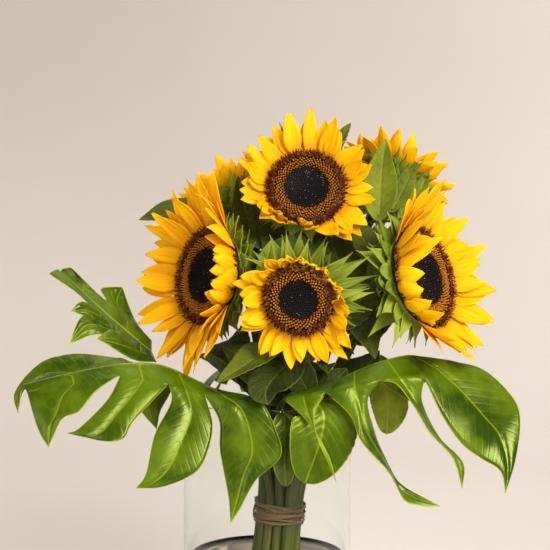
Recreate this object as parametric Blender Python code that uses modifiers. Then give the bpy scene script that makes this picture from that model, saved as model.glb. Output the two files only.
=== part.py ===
"""Six sunflowers and four monstera leaves, tied with raffia, in a clear glass cylinder vase.

Metres, +Z up. The origin is the centre of the vase's underside and the front of the bouquet
faces -Y. Places typed as whole numbers are millimetres and pass through mm().
"""
import bpy
import bmesh
from math import asin, cos, pi, radians, sin, sqrt
from mathutils import Matrix, Vector

MM = 0.001
GAP = 0.3 * MM                  # clearance between pieces that touch

VASE_RADIUS = 75 * MM
VASE_HEIGHT = 250 * MM
GLASS_WALL = 4 * MM
GLASS_BASE = 12 * MM
WATER_LEVEL = 109 * MM
VASE_STEPS = 44

STEM_RADIUS = 5.8 * MM          # a sunflower stem where the raffia holds it
NECK_RADIUS = 4.6 * MM          # the same stem under its flower
PETIOLE_RADIUS = 3.8 * MM       # a monstera leaf's stem where the raffia holds it
PETIOLE_END = 1.8 * MM
RING_RADIUS = 15.1 * MM         # nine stems stand in this ring, round the tenth
FOOT_SPREAD = 1.35              # how much wider the ring is at the stems' feet
FOOT_HEIGHT = GLASS_BASE + 1.3 * MM
NECK_LENGTH = 5 * MM            # a stem ends in a straight piece, square to what it bears
LOWER_STEPS = 4
UPPER_STEPS = 7
TIE_HEIGHT = 150.5 * MM
TIE_TURNS = 5
TIE_PITCH = 3.5 * MM
RAFFIA_RADIUS = 1.45 * MM

PETAL_THICKNESS = 0.8 * MM
LEAF_THICKNESS = 0.9 * MM
DISC_STEPS = 20
RIB_STEPS = 2                   # columns of a monstera lobe for each span of its midrib
SLIT_ROWS = 2                   # rows from the midrib to the bottom of a slit
LOBE_ROWS = 4                   # rows from there to the lobe's tip

# The bundle of stems leans a little: its axis passes through these two points.
BUNDLE_FOOT = Vector((-2 * MM, 0, FOOT_HEIGHT))
BUNDLE_TIE = Vector((11 * MM, 0, TIE_HEIGHT))
BUNDLE_AXIS = (BUNDLE_TIE - BUNDLE_FOOT).normalized()

# name: centre of the disc's base (mm), facing direction, disc radius (mm), petal length (mm),
# petals, tilt of the petals towards the front (degrees), side on which they fold over the disc
# (degrees round the flower) and how far they fold (degrees)
SUNFLOWERS = {
    "top": ((35, -20, 439), (0.0, -0.95, 0.31), 34, 32, 20, 18, 250, 12),
    "centre": ((27, -107, 344), (-0.21, -0.96, -0.20), 28, 24, 18, 20, 90, 28),
    "left": ((-49, -46, 362), (-0.77, -0.62, 0.14), 41, 45, 22, 28, 0, 44),
    "right": ((131, -60, 361), (0.75, -0.61, 0.24), 42, 45, 22, 28, 180, 44),
    "back_right": ((117, 62, 450), (0.45, 0.62, 0.64), 30, 32, 18, 18, 0, 0),
    "back_left": ((-31, 68, 430), (-0.42, 0.66, 0.62), 28, 30, 18, 18, 0, 0),
}

# Monstera leaves. A lobe spans two points of the midrib, by index, and runs between its two
# edges, base to tip. Lobes that are neighbours share the first point of their common edge,
# which is the bottom of the slit between them.
LEFT_LEAF = {
    "midrib": [(-43, -60, 266), (-58, -66, 274), (-89, -72, 288), (-122, -78, 289),
               (-166, -84, 281), (-200, -88, 273)],
    "lobes": [
        (5, 3, [(-196, -92, 268), (-192, -98, 259), (-184, -106, 241), (-174, -112, 225)],
         [(-120, -86, 280), (-138, -96, 268), (-150, -106, 254), (-164, -110, 248), (-174, -112, 225)]),
        (3, 2, [(-120, -86, 280), (-129, -98, 261), (-149, -112, 241), (-158, -116, 237)],
         [(-81, -84, 273), (-88, -92, 266), (-107, -106, 245), (-114, -112, 232),
          (-129, -116, 230), (-158, -116, 237)]),
        (2, 1, [(-81, -84, 273), (-78, -90, 259), (-90, -102, 234), (-96, -112, 204), (-104, -116, 193)],
         [(-51, -80, 264), (-44, -92, 241), (-47, -100, 221), (-56, -108, 205),
          (-80, -114, 195), (-104, -116, 193)]),
        (1, 0, [(-51, -80, 264), (-39, -85, 243), (-38, -88, 219), (-31, -94, 183), (-29, -98, 161)],
         [(-26, -72, 264), (-4, -81, 257), (8, -85, 235), (12, -88, 214), (-8, -94, 196),
          (-21, -97, 173), (-29, -98, 161)]),
        (3, 5, [(-123, -64, 293), (-151, -62, 296), (-170, -62, 295), (-190, -66, 288),
                (-208, -78, 266), (-204, -88, 249)],
         [(-199, -86, 271), (-203, -88, 264), (-204, -88, 249)]),
        (2, 3, [(-79, -52, 278), (-82, -50, 263), (-91, -54, 246), (-93, -60, 232)],
         [(-123, -64, 293), (-119, -50, 274), (-108, -52, 248), (-93, -60, 232)]),
        (1, 2, [(-57, -44, 266), (-60, -46, 254), (-74, -52, 238)],
         [(-79, -52, 278), (-78, -48, 257), (-74, -52, 238)]),
    ],
}
UPPER_LEFT_LEAF = {
    "midrib": [(-47, -22, 263), (-75, -22, 279), (-102, -20, 295), (-123, -18, 312),
               (-144, -18, 330), (-166, -16, 350), (-184, -14, 366)],
    "lobes": [
        (2, 3, [(-96, -36, 287), (-116, -46, 290), (-145, -56, 309)],
         [(-124, -34, 306), (-133, -44, 316), (-145, -56, 309)]),
        (3, 4, [(-124, -34, 306), (-147, -48, 312), (-168, -60, 304)],
         [(-137, -32, 318), (-158, -44, 328), (-168, -60, 304)]),
        (4, 5, [(-137, -32, 318), (-150, -42, 326), (-168, -48, 332)],
         [(-153, -30, 336), (-162, -40, 339), (-168, -48, 332)]),
        (5, 6, [(-153, -30, 336), (-168, -28, 349), (-192, -24, 364)],
         [(-186, -16, 367), (-189, -20, 366), (-192, -24, 364)]),
        (4, 2, [(-145, -4, 340), (-151, 4, 350), (-133, 14, 352)],
         [(-104, -4, 304), (-120, 4, 324), (-133, 14, 352)]),
        (6, 4, [(-183, -11, 368), (-180, -9, 369), (-176, -8, 370)],
         [(-145, -4, 340), (-158, -5, 352), (-176, -8, 370)]),
    ],
}
RIGHT_LEAF = {
    "midrib": [(28, -62, 264), (58, -68, 275), (89, -68, 288), (116, -66, 295), (133, -64, 294)],
    "lobes": [
        (0, 1, [(14, -80, 260), (34, -91, 243), (50, -98, 218), (57, -102, 194)],
         [(49, -84, 266), (40, -92, 252), (41, -96, 232), (52, -100, 207), (57, -102, 194)]),
        (1, 2, [(49, -84, 266), (69, -92, 248), (77, -102, 230), (97, -112, 206), (109, -112, 183),
                (123, -110, 178), (140, -108, 177)],
         [(94, -84, 276), (83, -84, 260), (88, -86, 235), (100, -92, 208), (112, -100, 192),
          (140, -108, 177)]),
        (2, 3, [(94, -84, 276), (107, -86, 274), (119, -92, 257), (132, -98, 234), (151, -104, 214),
                (158, -106, 191)],
         [(131, -78, 278), (129, -80, 256), (145, -86, 227), (160, -96, 211), (158, -106, 191)]),
        (3, 4, [(131, -78, 278), (143, -88, 249), (158, -98, 227), (173, -106, 216),
                (188, -108, 206), (192, -110, 188)],
         [(157, -54, 290), (183, -58, 284), (202, -70, 266), (209, -84, 247), (202, -100, 214),
          (192, -110, 188)]),
        (4, 2, [(157, -54, 290), (147, -36, 278), (134, -30, 264), (126, -32, 252)],
         [(84, -50, 284), (92, -34, 278), (108, -28, 264), (126, -32, 252)]),
    ],
}
# The back leaf is symmetric. Its right half is listed about a midrib along +Y.
BACK_LEAF_HALF = {
    "midrib": [(0, 0, 0), (0, 22, 7), (0, 46, 10), (0, 72, 7), (0, 98, -4), (0, 124, -22)],
    "lobes": [
        (0, 1, [(20, -4, 0), (38, -14, -6), (46, -20, -14)],
         [(26, 20, 3), (46, 8, -2), (56, -6, -10), (46, -20, -14)]),
        (1, 2, [(26, 20, 3), (52, 16, -12), (68, 10, -34)],
         [(25, 47, 5), (54, 36, -8), (70, 24, -26), (68, 10, -34)]),
        (2, 3, [(25, 47, 5), (52, 46, -12), (66, 44, -36)],
         [(20, 76, 1), (48, 68, -12), (64, 58, -28), (66, 44, -36)]),
        (3, 4, [(20, 76, 1), (38, 80, -14), (48, 84, -36)],
         [(12, 104, -9), (30, 104, -18), (44, 98, -30), (48, 84, -36)]),
        (4, 5, [(12, 104, -9), (20, 112, -20), (14, 130, -38), (0, 142, -46)],
         [(0, 128, -26), (0, 135, -36), (0, 142, -46)]),
    ],
}
BACK_LEAF_PLACE = Matrix.Translation((0.004, 0.062, 0.274)) @ Matrix.Rotation(radians(8), 4, "Z")

# name: midrib from its stem to its tip (mm), half width (mm), direction the upper side faces
OVATE_LEAVES = {
    "left_top_leaf": ([(-22, 24, 392), (-50, 23, 411), (-84, 15, 419), (-116, 2, 413)],
                      20, (-0.2, -0.75, 0.6)),
    "top_small_leaf": ([(52, 12, 462), (67, 16, 487), (77, 18, 503)], 9, (-0.6, -0.7, 0.4)),
    "centre_left_leaf": ([(12, -62, 305), (-4, -78, 298), (-20, -91, 288), (-40, -100, 276)],
                         14, (-0.3, -0.7, 0.65)),
    "centre_lower_leaf": ([(30, -66, 296), (12, -80, 284), (0, -90, 269), (1, -95, 257)],
                          19, (-0.3, -0.85, 0.4)),
    "centre_right_leaf": ([(44, -52, 322), (66, -58, 330), (84, -58, 346), (92, -56, 366)],
                          14, (0.2, -0.9, 0.3)),
    "right_inner_leaf": ([(74, -32, 318), (80, -46, 322), (86, -57, 311), (92, -64, 292)],
                         14, (0.2, -0.8, 0.6)),
    "left_inner_leaf": ([(-28, -6, 300), (-34, -28, 306), (-26, -46, 296), (-20, -58, 276)],
                        18, (-0.4, -0.7, 0.6)),
    "inner_left_leaf": ([(-4, 6, 336), (-14, 8, 356), (-24, 6, 374), (-30, 0, 390)],
                        19, (-0.2, -0.95, 0.2)),
    "inner_middle_leaf": ([(66, -8, 362), (44, -18, 374), (20, -24, 382), (-8, -22, 382)],
                          20, (0.0, -0.95, 0.3)),
    "inner_right_leaf": ([(76, 0, 340), (88, 2, 362), (96, 2, 384), (98, -2, 408)],
                         22, (0.2, -0.95, 0.2)),
    "back_right_leaf": ([(82, 36, 356), (102, 56, 363), (128, 82, 350), (146, 98, 326)],
                        25, (0.3, 0.3, 0.9)),
    "back_left_leaf": ([(-12, 34, 340), (-44, 58, 352), (-74, 80, 342), (-94, 94, 318)],
                       25, (-0.3, 0.3, 0.9)),
    "back_middle_leaf": ([(30, 26, 330), (36, 60, 344), (40, 96, 336), (42, 120, 312)],
                         25, (0.0, 0.3, 0.95)),
    "front_round_leaf": ([(42, -74, 257), (48, -79, 246), (44, -83, 224), (32, -85, 191)],
                         27, (0.15, -0.97, 0.2)),
    "right_round_leaf": ([(84, -12, 288), (98, -18, 276), (107, -22, 250), (105, -26, 223)],
                         18, (0.3, -0.9, 0.3)),
    "mouth_right_leaf": ([(42, -10, 266), (48, -24, 279), (51, -40, 285), (52, -56, 279)],
                         11, (0.1, -0.5, 0.85)),
    "mouth_left_leaf": ([(-22, 4, 262), (-44, 18, 281), (-62, 32, 286), (-80, 46, 278)],
                        18, (-0.2, 0.1, 0.95)),
    "mouth_back_leaf": ([(30, 34, 272), (48, 46, 292), (66, 58, 296), (84, 70, 286)],
                        18, (0.2, 0.1, 0.95)),
    "vase_leaf": ([(14, -58, 247), (15, -61, 236), (15, -62, 210), (16, -60, 184)],
                  11, (0.0, -1.0, 0.1)),
}
ROUND_LEAVES = ("front_round_leaf", "right_round_leaf", "vase_leaf")

YELLOW = (0.95, 0.62, 0.01)
DISC_BROWN = (0.07, 0.025, 0.012)
STEM_GREEN = (0.22, 0.33, 0.08)
BRACT_GREEN = (0.25, 0.42, 0.10)
LEAF_GREEN = (0.07, 0.20, 0.03)
MONSTERA_GREEN = (0.05, 0.27, 0.01)
RAFFIA = (0.55, 0.38, 0.20)
GLASS = (0.93, 0.97, 0.96)
WATER = (0.85, 0.93, 0.92)


def mm(point):
    return Vector(point) * MM


def clear_scene():
    for thing in list(bpy.data.objects):
        bpy.data.objects.remove(thing, do_unlink=True)


def make_collection(name):
    collection = bpy.data.collections.new(name)
    bpy.context.scene.collection.children.link(collection)
    return collection


def make_material(name, colour, roughness, metallic=0.0, alpha=1.0):
    made = bpy.data.materials.new(name)
    made.use_nodes = True
    shader = made.node_tree.nodes["Principled BSDF"]
    shader.inputs["Base Color"].default_value = (*colour, 1.0)
    shader.inputs["Roughness"].default_value = roughness
    shader.inputs["Metallic"].default_value = metallic
    shader.inputs["Alpha"].default_value = alpha
    made.diffuse_color = (*colour, alpha)
    return made


def add_object(name, data, material, collection):
    made = bpy.data.objects.new(name, data)
    if material is not None:
        made.data.materials.append(material)
    collection.objects.link(made)
    return made


def mesh_from_bmesh(name, bm):
    mesh = bpy.data.meshes.new(name)
    bm.to_mesh(mesh)
    bm.free()
    return mesh


def lathe(name, profile, steps, material, collection):
    """Turn a profile of (radius, height), outer side listed top to bottom, about Z."""
    bm = bmesh.new()
    corners = [bm.verts.new((radius, 0, height)) for radius, height in profile]
    for first, second in zip(corners, corners[1:]):
        bm.edges.new((first, second))
    made = add_object(name, mesh_from_bmesh(name, bm), material, collection)
    screw = made.modifiers.new("turn", "SCREW")
    screw.angle = 2 * pi
    screw.steps = steps
    screw.render_steps = steps
    screw.use_merge_vertices = True
    screw.merge_threshold = 0.00001
    screw.use_smooth_shade = True
    return made


def solidify(made, thickness, offset=0.0):
    thicken = made.modifiers.new("thickness", "SOLIDIFY")
    thicken.thickness = thickness
    thicken.offset = offset
    return made


def hermite(start, end, start_pull, end_pull, steps):
    """Points of a smooth curve that leaves and arrives along the two pulls."""
    points = []
    for step in range(steps + 1):
        t = step / steps
        points.append(start * (2 * t ** 3 - 3 * t ** 2 + 1) + start_pull * (t ** 3 - 2 * t ** 2 + t)
                      + end * (3 * t ** 2 - 2 * t ** 3) + end_pull * (t ** 3 - t ** 2))
    return points


def smooth_points(points, count):
    """Evenly numbered points of a smooth curve through a list of points."""
    spans = len(points) - 1
    result = []
    for number in range(count + 1):
        place = number / count * spans
        index = min(int(place), spans - 1)
        t = place - index
        here, there = points[index], points[index + 1]
        before = points[index - 1] if index > 0 else here * 2 - there
        after = points[index + 2] if index + 2 <= spans else there * 2 - here
        pull_in = (there - before) / 2
        pull_out = (after - here) / 2
        result.append(here * (2 * t ** 3 - 3 * t ** 2 + 1) + pull_in * (t ** 3 - 2 * t ** 2 + t)
                      + there * (3 * t ** 2 - 2 * t ** 3) + pull_out * (t ** 3 - t ** 2))
    return result


def tube(name, points, radii, resolution, material, collection):
    """A tube with filled ends along a list of points, each with its own radius."""
    curve = bpy.data.curves.new(name, "CURVE")
    curve.dimensions = "3D"
    curve.bevel_depth = 1.0
    curve.bevel_resolution = resolution
    curve.use_fill_caps = True
    spline = curve.splines.new("POLY")
    spline.points.add(len(points) - 1)
    for slot, place, radius in zip(spline.points, points, radii):
        slot.co = (*place, 1.0)
        slot.radius = radius
    return add_object(name, curve, material, collection)


def mesh_of_curve(curve_object, collection):
    """Replace a curve object by the same shape as a closed mesh."""
    name = curve_object.name
    bpy.context.view_layer.update()
    depsgraph = bpy.context.evaluated_depsgraph_get()
    mesh = bpy.data.meshes.new_from_object(curve_object.evaluated_get(depsgraph))
    place = curve_object.matrix_world.copy()
    bpy.data.objects.remove(curve_object, do_unlink=True)
    bm = bmesh.new()
    bm.from_mesh(mesh)
    bmesh.ops.remove_doubles(bm, verts=bm.verts, dist=0.000001)
    bm.to_mesh(mesh)
    bm.free()
    made = bpy.data.objects.new(name, mesh)
    made.matrix_world = place
    collection.objects.link(made)
    return made


def surface_object(name, grids, thickness, material, collection):
    """Join grids of points into one sheet along their common edges, and thicken it."""
    bm = bmesh.new()
    for grid in grids:
        rows = [[bm.verts.new(point) for point in row] for row in grid]
        for lower, upper in zip(rows, rows[1:]):
            for column in range(len(lower) - 1):
                bm.faces.new((lower[column], lower[column + 1], upper[column + 1], upper[column]))
    bmesh.ops.remove_doubles(bm, verts=bm.verts, dist=0.00002)
    bmesh.ops.recalc_face_normals(bm, faces=bm.faces)
    made = add_object(name, mesh_from_bmesh(name, bm), material, collection)
    made.data.shade_smooth()
    return solidify(made, thickness)


def make_vase(collection):
    glass = make_material("glass", GLASS, 0.02, alpha=0.35)
    inner = VASE_RADIUS - GLASS_WALL
    lip = 1 * MM
    profile = [(0, GLASS_BASE), (inner - 2 * lip, GLASS_BASE), (inner, GLASS_BASE + 2 * lip),
               (inner, VASE_HEIGHT - lip), (inner + lip, VASE_HEIGHT),
               (VASE_RADIUS - lip, VASE_HEIGHT), (VASE_RADIUS, VASE_HEIGHT - lip),
               (VASE_RADIUS, 2 * lip), (VASE_RADIUS - 2 * lip, 0), (0, 0)]
    lathe("glass_vase", profile, VASE_STEPS, glass, collection)


def make_water(stem_routes, collection, cutters):
    """The water fills the vase to its level, and each stem passes through it."""
    water = make_material("water", WATER, 0.02, alpha=0.35)
    radius = VASE_RADIUS - GLASS_WALL - 2 * GAP
    floor = GLASS_BASE + GAP
    profile = [(0, WATER_LEVEL), (radius, WATER_LEVEL), (radius, floor + 3 * MM),
               (radius - 3 * MM, floor), (0, floor)]
    made = lathe("vase_water", profile, VASE_STEPS, water, collection)
    for name, (points, radii) in stem_routes.items():
        under = [(point, radius) for point, radius in zip(points, radii) if point.z < TIE_HEIGHT]
        foot_point, foot_radius = under[0]
        under.insert(0, (foot_point - Vector((0, 0, 3 * MM)), foot_radius))
        wide = [(radius + GAP) / cos(pi / 8) for point, radius in under]
        cutter = tube(name + "_hole", [point for point, radius in under], wide, 2, None, cutters)
        cutter = mesh_of_curve(cutter, cutters)
        cutter.hide_render = True
        cutter.display_type = "WIRE"
        cut = made.modifiers.new(name, "BOOLEAN")
        cut.operation = "DIFFERENCE"
        cut.object = cutter


def ring_angles(order, radii):
    """Angles at which stems of these radii stand side by side in the ring."""
    angles = {}
    angle = radians(268)
    needed = []
    for index, name in enumerate(order):
        following = order[(index + 1) % len(order)]
        chord = radii[name] + radii[following] + GAP
        needed.append(2 * asin(chord / 2 / RING_RADIUS))
    spare = (2 * pi - sum(needed)) / len(order)
    for name, step in zip(order, needed):
        angles[name] = angle
        angle += step + spare
    return angles


def stem_route(ring_place, head, head_pull, radius, end_radius):
    """A stem from its foot on the vase's floor, through the tie, to what it bears."""
    foot = BUNDLE_FOOT + ring_place * FOOT_SPREAD
    tie = BUNDLE_TIE + ring_place
    lower = hermite(foot, tie, BUNDLE_AXIS * 100 * MM, BUNDLE_AXIS * 120 * MM, LOWER_STEPS)
    length = (head - tie).length
    neck = head - head_pull.normalized() * NECK_LENGTH
    upper = hermite(tie, neck, BUNDLE_AXIS * length * 0.9, head_pull, UPPER_STEPS)
    points = lower[:-1] + upper + [head]
    radii = [radius] * len(lower)
    radii += [radius + (end_radius - radius) * (step + 1) / UPPER_STEPS for step in range(UPPER_STEPS)]
    radii.append(end_radius)
    return points, radii


def flower_frame(place, facing):
    """The flower's own axes: Z along its facing, Y as near to up as it can be."""
    forward = Vector(facing).normalized()
    side = Vector((0, 0, 1)).cross(forward).normalized()
    up = forward.cross(side)
    turn = Matrix((side, up, forward)).transposed().to_4x4()
    return Matrix.Translation(mm(place)) @ turn


def whorl(name, frame, count, inner, base, depth, length, width, tilt, material, collection):
    """A ring that bears pointed blades. length and tilt are functions of the angle."""
    bm = bmesh.new()
    step = 2 * pi / count
    inner_ring = []
    base_ring = []
    for half in range(2 * count):
        angle = half * step / 2
        inner_ring.append(bm.verts.new((inner * cos(angle), inner * sin(angle), depth)))
        base_ring.append(bm.verts.new((base * cos(angle), base * sin(angle), depth)))
    for half in range(2 * count):
        after = (half + 1) % (2 * count)
        bm.faces.new((inner_ring[half], base_ring[half], base_ring[after], inner_ring[after]))
    for blade in range(count):
        angle = (blade + 0.5) * step
        outward = Vector((cos(angle), sin(angle), 0))
        across = Vector((-sin(angle), cos(angle), 0))
        reach = outward * cos(tilt(angle)) + Vector((0, 0, 1)) * sin(tilt(angle))
        middle = outward * base + Vector((0, 0, depth)) + reach * length(angle) * 0.5
        room = sqrt(middle.x ** 2 + middle.y ** 2) * step * 0.46
        half_width = min(width / 2, room)
        right, centre, left = (base_ring[(2 * blade + side) % (2 * count)] for side in range(3))
        mid_right = bm.verts.new(middle - across * half_width)
        mid_centre = bm.verts.new(middle - Vector((0, 0, 1)) * length(angle) * 0.03)
        mid_left = bm.verts.new(middle + across * half_width)
        tip = bm.verts.new(outward * base + Vector((0, 0, depth)) + reach * length(angle))
        bm.faces.new((right, mid_right, mid_centre, centre))
        bm.faces.new((centre, mid_centre, mid_left, left))
        bm.faces.new((mid_right, tip, mid_centre))
        bm.faces.new((mid_centre, tip, mid_left))
    made = add_object(name, mesh_from_bmesh(name, bm), material, collection)
    made.data.shade_smooth()
    made.matrix_world = frame
    return solidify(made, PETAL_THICKNESS)


def make_disc(name, frame, radius, material, collection):
    """The dark centre: a low ring of florets round a hollow."""
    profile = [(0, 2.2), (radius * 0.30, 2.6), (radius * 0.62, 5.0), (radius * 0.86, 5.6),
               (radius, 3.0), (radius, -0.6), (radius * 0.9, -1.6), (0, -1.6)]
    made = lathe(name, [(across * MM, up * MM) for across, up in profile], DISC_STEPS,
                 material, collection)
    made.matrix_world = frame


def make_receptacle(name, frame, radius, material, collection):
    """The green cup behind the petals, which narrows to the stem."""
    profile = [(0, -6.4), (radius * 0.94, -6.4), (radius * 0.90, -9.5), (radius * 0.62, -14.5),
               (radius * 0.26, -19.0), (5.4, -22.0), (0, -22.0)]
    made = lathe(name, [(across * MM, up * MM) for across, up in profile], DISC_STEPS,
                 material, collection)
    made.matrix_world = frame


def make_sunflower(name, spec, materials, collection):
    place, facing, disc, petal, count, tilt, fold_side, fold = spec
    frame = flower_frame(place, facing)

    def petal_tilt(angle):
        return radians(tilt + fold * max(0.0, cos(angle - radians(fold_side))))

    def petal_length(angle):
        return petal * MM * (1 - 0.004 * fold * max(0.0, cos(angle - radians(fold_side))))

    start = name + "_sunflower"
    make_disc(start + "_disc", frame, disc, materials["disc"], collection)
    whorl(start + "_petals", frame, count, disc * 0.6 * MM, (disc + 1) * MM, -2.6 * MM,
          petal_length, 15 * MM, petal_tilt, materials["petal"], collection)
    whorl(start + "_bracts", frame, 11, disc * 0.6 * MM, disc * 0.98 * MM, -4.6 * MM,
          lambda angle: (disc * 0.35 + 8) * MM, 12 * MM, lambda angle: radians(-6),
          materials["bract"], collection)
    make_receptacle(start + "_receptacle", frame, disc, materials["bract"], collection)


def lobe_grid(rib, lobe):
    """Rows of points from a stretch of the midrib to the lobe's tip."""
    first, last, first_edge, last_edge = lobe
    low, high = sorted((first * RIB_STEPS, last * RIB_STEPS))
    root = rib[low:high + 1]
    if first > last:
        root.reverse()
    first_side = [root[0].lerp(mm(first_edge[0]), row / SLIT_ROWS) for row in range(SLIT_ROWS)]
    last_side = [root[-1].lerp(mm(last_edge[0]), row / SLIT_ROWS) for row in range(SLIT_ROWS)]
    first_side += smooth_points([mm(point) for point in first_edge], LOBE_ROWS)
    last_side += smooth_points([mm(point) for point in last_edge], LOBE_ROWS)
    columns = len(root) - 1
    grid = [root]
    for here, there in zip(first_side[1:], last_side[1:]):
        grid.append([here.lerp(there, column / columns) for column in range(columns + 1)])
    return grid


def make_divided_leaf(name, leaf, material, collection):
    spans = len(leaf["midrib"]) - 1
    rib = smooth_points([mm(point) for point in leaf["midrib"]], spans * RIB_STEPS)
    grids = [lobe_grid(rib, lobe) for lobe in leaf["lobes"]]
    return surface_object(name, grids, LEAF_THICKNESS, material, collection)


def both_halves(half):
    """Mirror the lobes of a half leaf to the other side of its midrib."""
    lobes = list(half["lobes"])
    for first, last, first_edge, last_edge in half["lobes"]:
        mirrored = [[(-x, y, z) for x, y, z in edge] for edge in (first_edge, last_edge)]
        lobes.append((first, last, *mirrored))
    return {"midrib": half["midrib"], "lobes": lobes}


def make_ovate_leaf(name, spec, material, collection):
    """A blade that widens from a narrow base and closes in a point or a round end."""
    midrib, half_width, facing = spec
    rows = 6
    line = smooth_points([mm(point) for point in midrib], rows)
    grid = []
    for row, place in enumerate(line):
        t = row / rows
        ahead = line[min(row + 1, rows)] - line[max(row - 1, 0)]
        across = ahead.cross(Vector(facing)).normalized()
        up = across.cross(ahead).normalized()
        if name in ROUND_LEAVES:
            width = sqrt(max(0.0, sin(pi * t ** 1.2))) * 0.98 + 0.06 * (1 - t)
        else:
            width = sin(pi * t ** 0.8) ** 0.85 + 0.08 * (1 - t)
        side = across * half_width * MM * width
        lift = up * half_width * MM * width * 0.22
        if row == rows:
            grid.append([place] * 3)
        else:
            grid.append([place - side + lift, place, place + side + lift])
    return surface_object(name, [grid], LEAF_THICKNESS, material, collection)


def make_tie(material, collection):
    """Raffia wound round the stems, on a helix about the leaning bundle."""
    radius = RING_RADIUS + STEM_RADIUS + RAFFIA_RADIUS + 2 * GAP
    per_turn = 18
    side = Vector((0, 1, 0)).cross(BUNDLE_AXIS).normalized()
    front = BUNDLE_AXIS.cross(side)
    points = []
    for step in range(TIE_TURNS * per_turn + 1):
        turns = step / per_turn
        angle = 2 * pi * turns
        along = (turns - TIE_TURNS / 2) * TIE_PITCH
        points.append(BUNDLE_TIE + BUNDLE_AXIS * along
                      + (side * cos(angle) + front * sin(angle)) * radius)
    tube("raffia_tie", points, [RAFFIA_RADIUS] * len(points), 1, material, collection)


def make_stems(materials, collection):
    """All the stems, side by side in the tie. Returns the route of each."""
    bases = {"left": LEFT_LEAF["midrib"], "upper_left": UPPER_LEFT_LEAF["midrib"],
             "right": RIGHT_LEAF["midrib"]}
    heads = {}
    for name, spec in SUNFLOWERS.items():
        frame = flower_frame(spec[0], spec[1])
        head = frame @ Vector((0, 0, -22.4 * MM))
        heads[name + "_sunflower_stem"] = (head, frame.to_3x3() @ Vector((0, 0, 90 * MM)))
    for name, midrib in bases.items():
        first, second = mm(midrib[0]), mm(midrib[1])
        ahead = (second - first).normalized()
        heads[name + "_monstera_stem"] = (first - ahead * 3 * MM, ahead * 70 * MM)
    back = BACK_LEAF_PLACE.translation - Vector((0, 3 * MM, 1 * MM))
    heads["back_monstera_stem"] = (back, Vector((0, 70 * MM, 20 * MM)))

    order = ["right_monstera_stem", "centre_sunflower_stem", "right_sunflower_stem",
             "back_right_sunflower_stem", "back_monstera_stem", "back_left_sunflower_stem",
             "left_sunflower_stem", "upper_left_monstera_stem", "left_monstera_stem"]
    radii = {name: STEM_RADIUS if "sunflower" in name else PETIOLE_RADIUS for name in heads}
    angles = ring_angles(order, radii)
    routes = {}
    for name, (head, pull) in heads.items():
        if name in angles:
            ring_place = Vector((cos(angles[name]), sin(angles[name]), 0)) * RING_RADIUS
        else:
            ring_place = Vector((0, 0, 0))
        end_radius = NECK_RADIUS if "sunflower" in name else PETIOLE_END
        routes[name] = stem_route(ring_place, head, pull, radii[name], end_radius)
        points, thickness = routes[name]
        tube(name, points, thickness, 2, materials["stem"], collection)
    return routes


def main():
    clear_scene()
    parts = make_collection("sunflowers_in_vase")
    cutters = make_collection("cutters")
    materials = {
        "petal": make_material("petal", YELLOW, 0.5),
        "disc": make_material("disc", DISC_BROWN, 0.85),
        "bract": make_material("bract", BRACT_GREEN, 0.6),
        "stem": make_material("stem", STEM_GREEN, 0.5),
        "leaf": make_material("leaf", LEAF_GREEN, 0.5),
        "monstera": make_material("monstera", MONSTERA_GREEN, 0.25),
        "raffia": make_material("raffia", RAFFIA, 0.8),
    }
    make_vase(parts)
    routes = make_stems(materials, parts)
    make_water(routes, parts, cutters)
    make_tie(materials["raffia"], parts)
    for name, spec in SUNFLOWERS.items():
        make_sunflower(name, spec, materials, parts)
    make_divided_leaf("left_monstera_leaf", LEFT_LEAF, materials["monstera"], parts)
    make_divided_leaf("upper_left_monstera_leaf", UPPER_LEFT_LEAF, materials["monstera"], parts)
    make_divided_leaf("right_monstera_leaf", RIGHT_LEAF, materials["monstera"], parts)
    back = make_divided_leaf("back_monstera_leaf", both_halves(BACK_LEAF_HALF),
                             materials["monstera"], parts)
    back.matrix_world = BACK_LEAF_PLACE
    for name, spec in OVATE_LEAVES.items():
        make_ovate_leaf(name, spec, materials["leaf"], parts)


main()
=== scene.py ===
from math import asin, cos, pi, radians, sin, sqrt

import bmesh
import bpy
import numpy as np
from mathutils import Matrix, Vector


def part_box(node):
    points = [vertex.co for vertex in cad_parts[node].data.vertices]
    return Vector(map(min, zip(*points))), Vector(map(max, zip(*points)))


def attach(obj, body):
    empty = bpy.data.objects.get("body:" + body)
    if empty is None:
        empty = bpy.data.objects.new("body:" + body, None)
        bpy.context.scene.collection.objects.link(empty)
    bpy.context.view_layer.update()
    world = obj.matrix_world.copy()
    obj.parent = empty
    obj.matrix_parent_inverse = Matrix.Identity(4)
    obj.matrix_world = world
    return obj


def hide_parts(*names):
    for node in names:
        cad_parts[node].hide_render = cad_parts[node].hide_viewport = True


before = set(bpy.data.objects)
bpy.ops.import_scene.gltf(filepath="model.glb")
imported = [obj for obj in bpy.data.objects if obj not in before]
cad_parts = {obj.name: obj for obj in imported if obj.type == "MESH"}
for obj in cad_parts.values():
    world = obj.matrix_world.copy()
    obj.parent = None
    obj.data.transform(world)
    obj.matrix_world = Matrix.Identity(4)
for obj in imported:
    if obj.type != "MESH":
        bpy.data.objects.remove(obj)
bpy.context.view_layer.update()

MM = 0.001

# ---------------------------------------------------------------- vase and bundle, as in the CAD
VASE_RADIUS = 75
VASE_HEIGHT = 250
GLASS_WALL = 4
GLASS_BASE = 12
WATER_LEVEL = 109
STEM_RADIUS = 5.8
NECK_RADIUS = 4.6
PETIOLE_RADIUS = 3.8
PETIOLE_END = 1.8
RING_RADIUS = 15.1
FOOT_SPREAD = 1.35
NECK_LENGTH = 5
FIRST_STEM_ANGLE = radians(268)
STEPS_BELOW_TIE = 30
STEPS_ABOVE_TIE = 50
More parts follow.
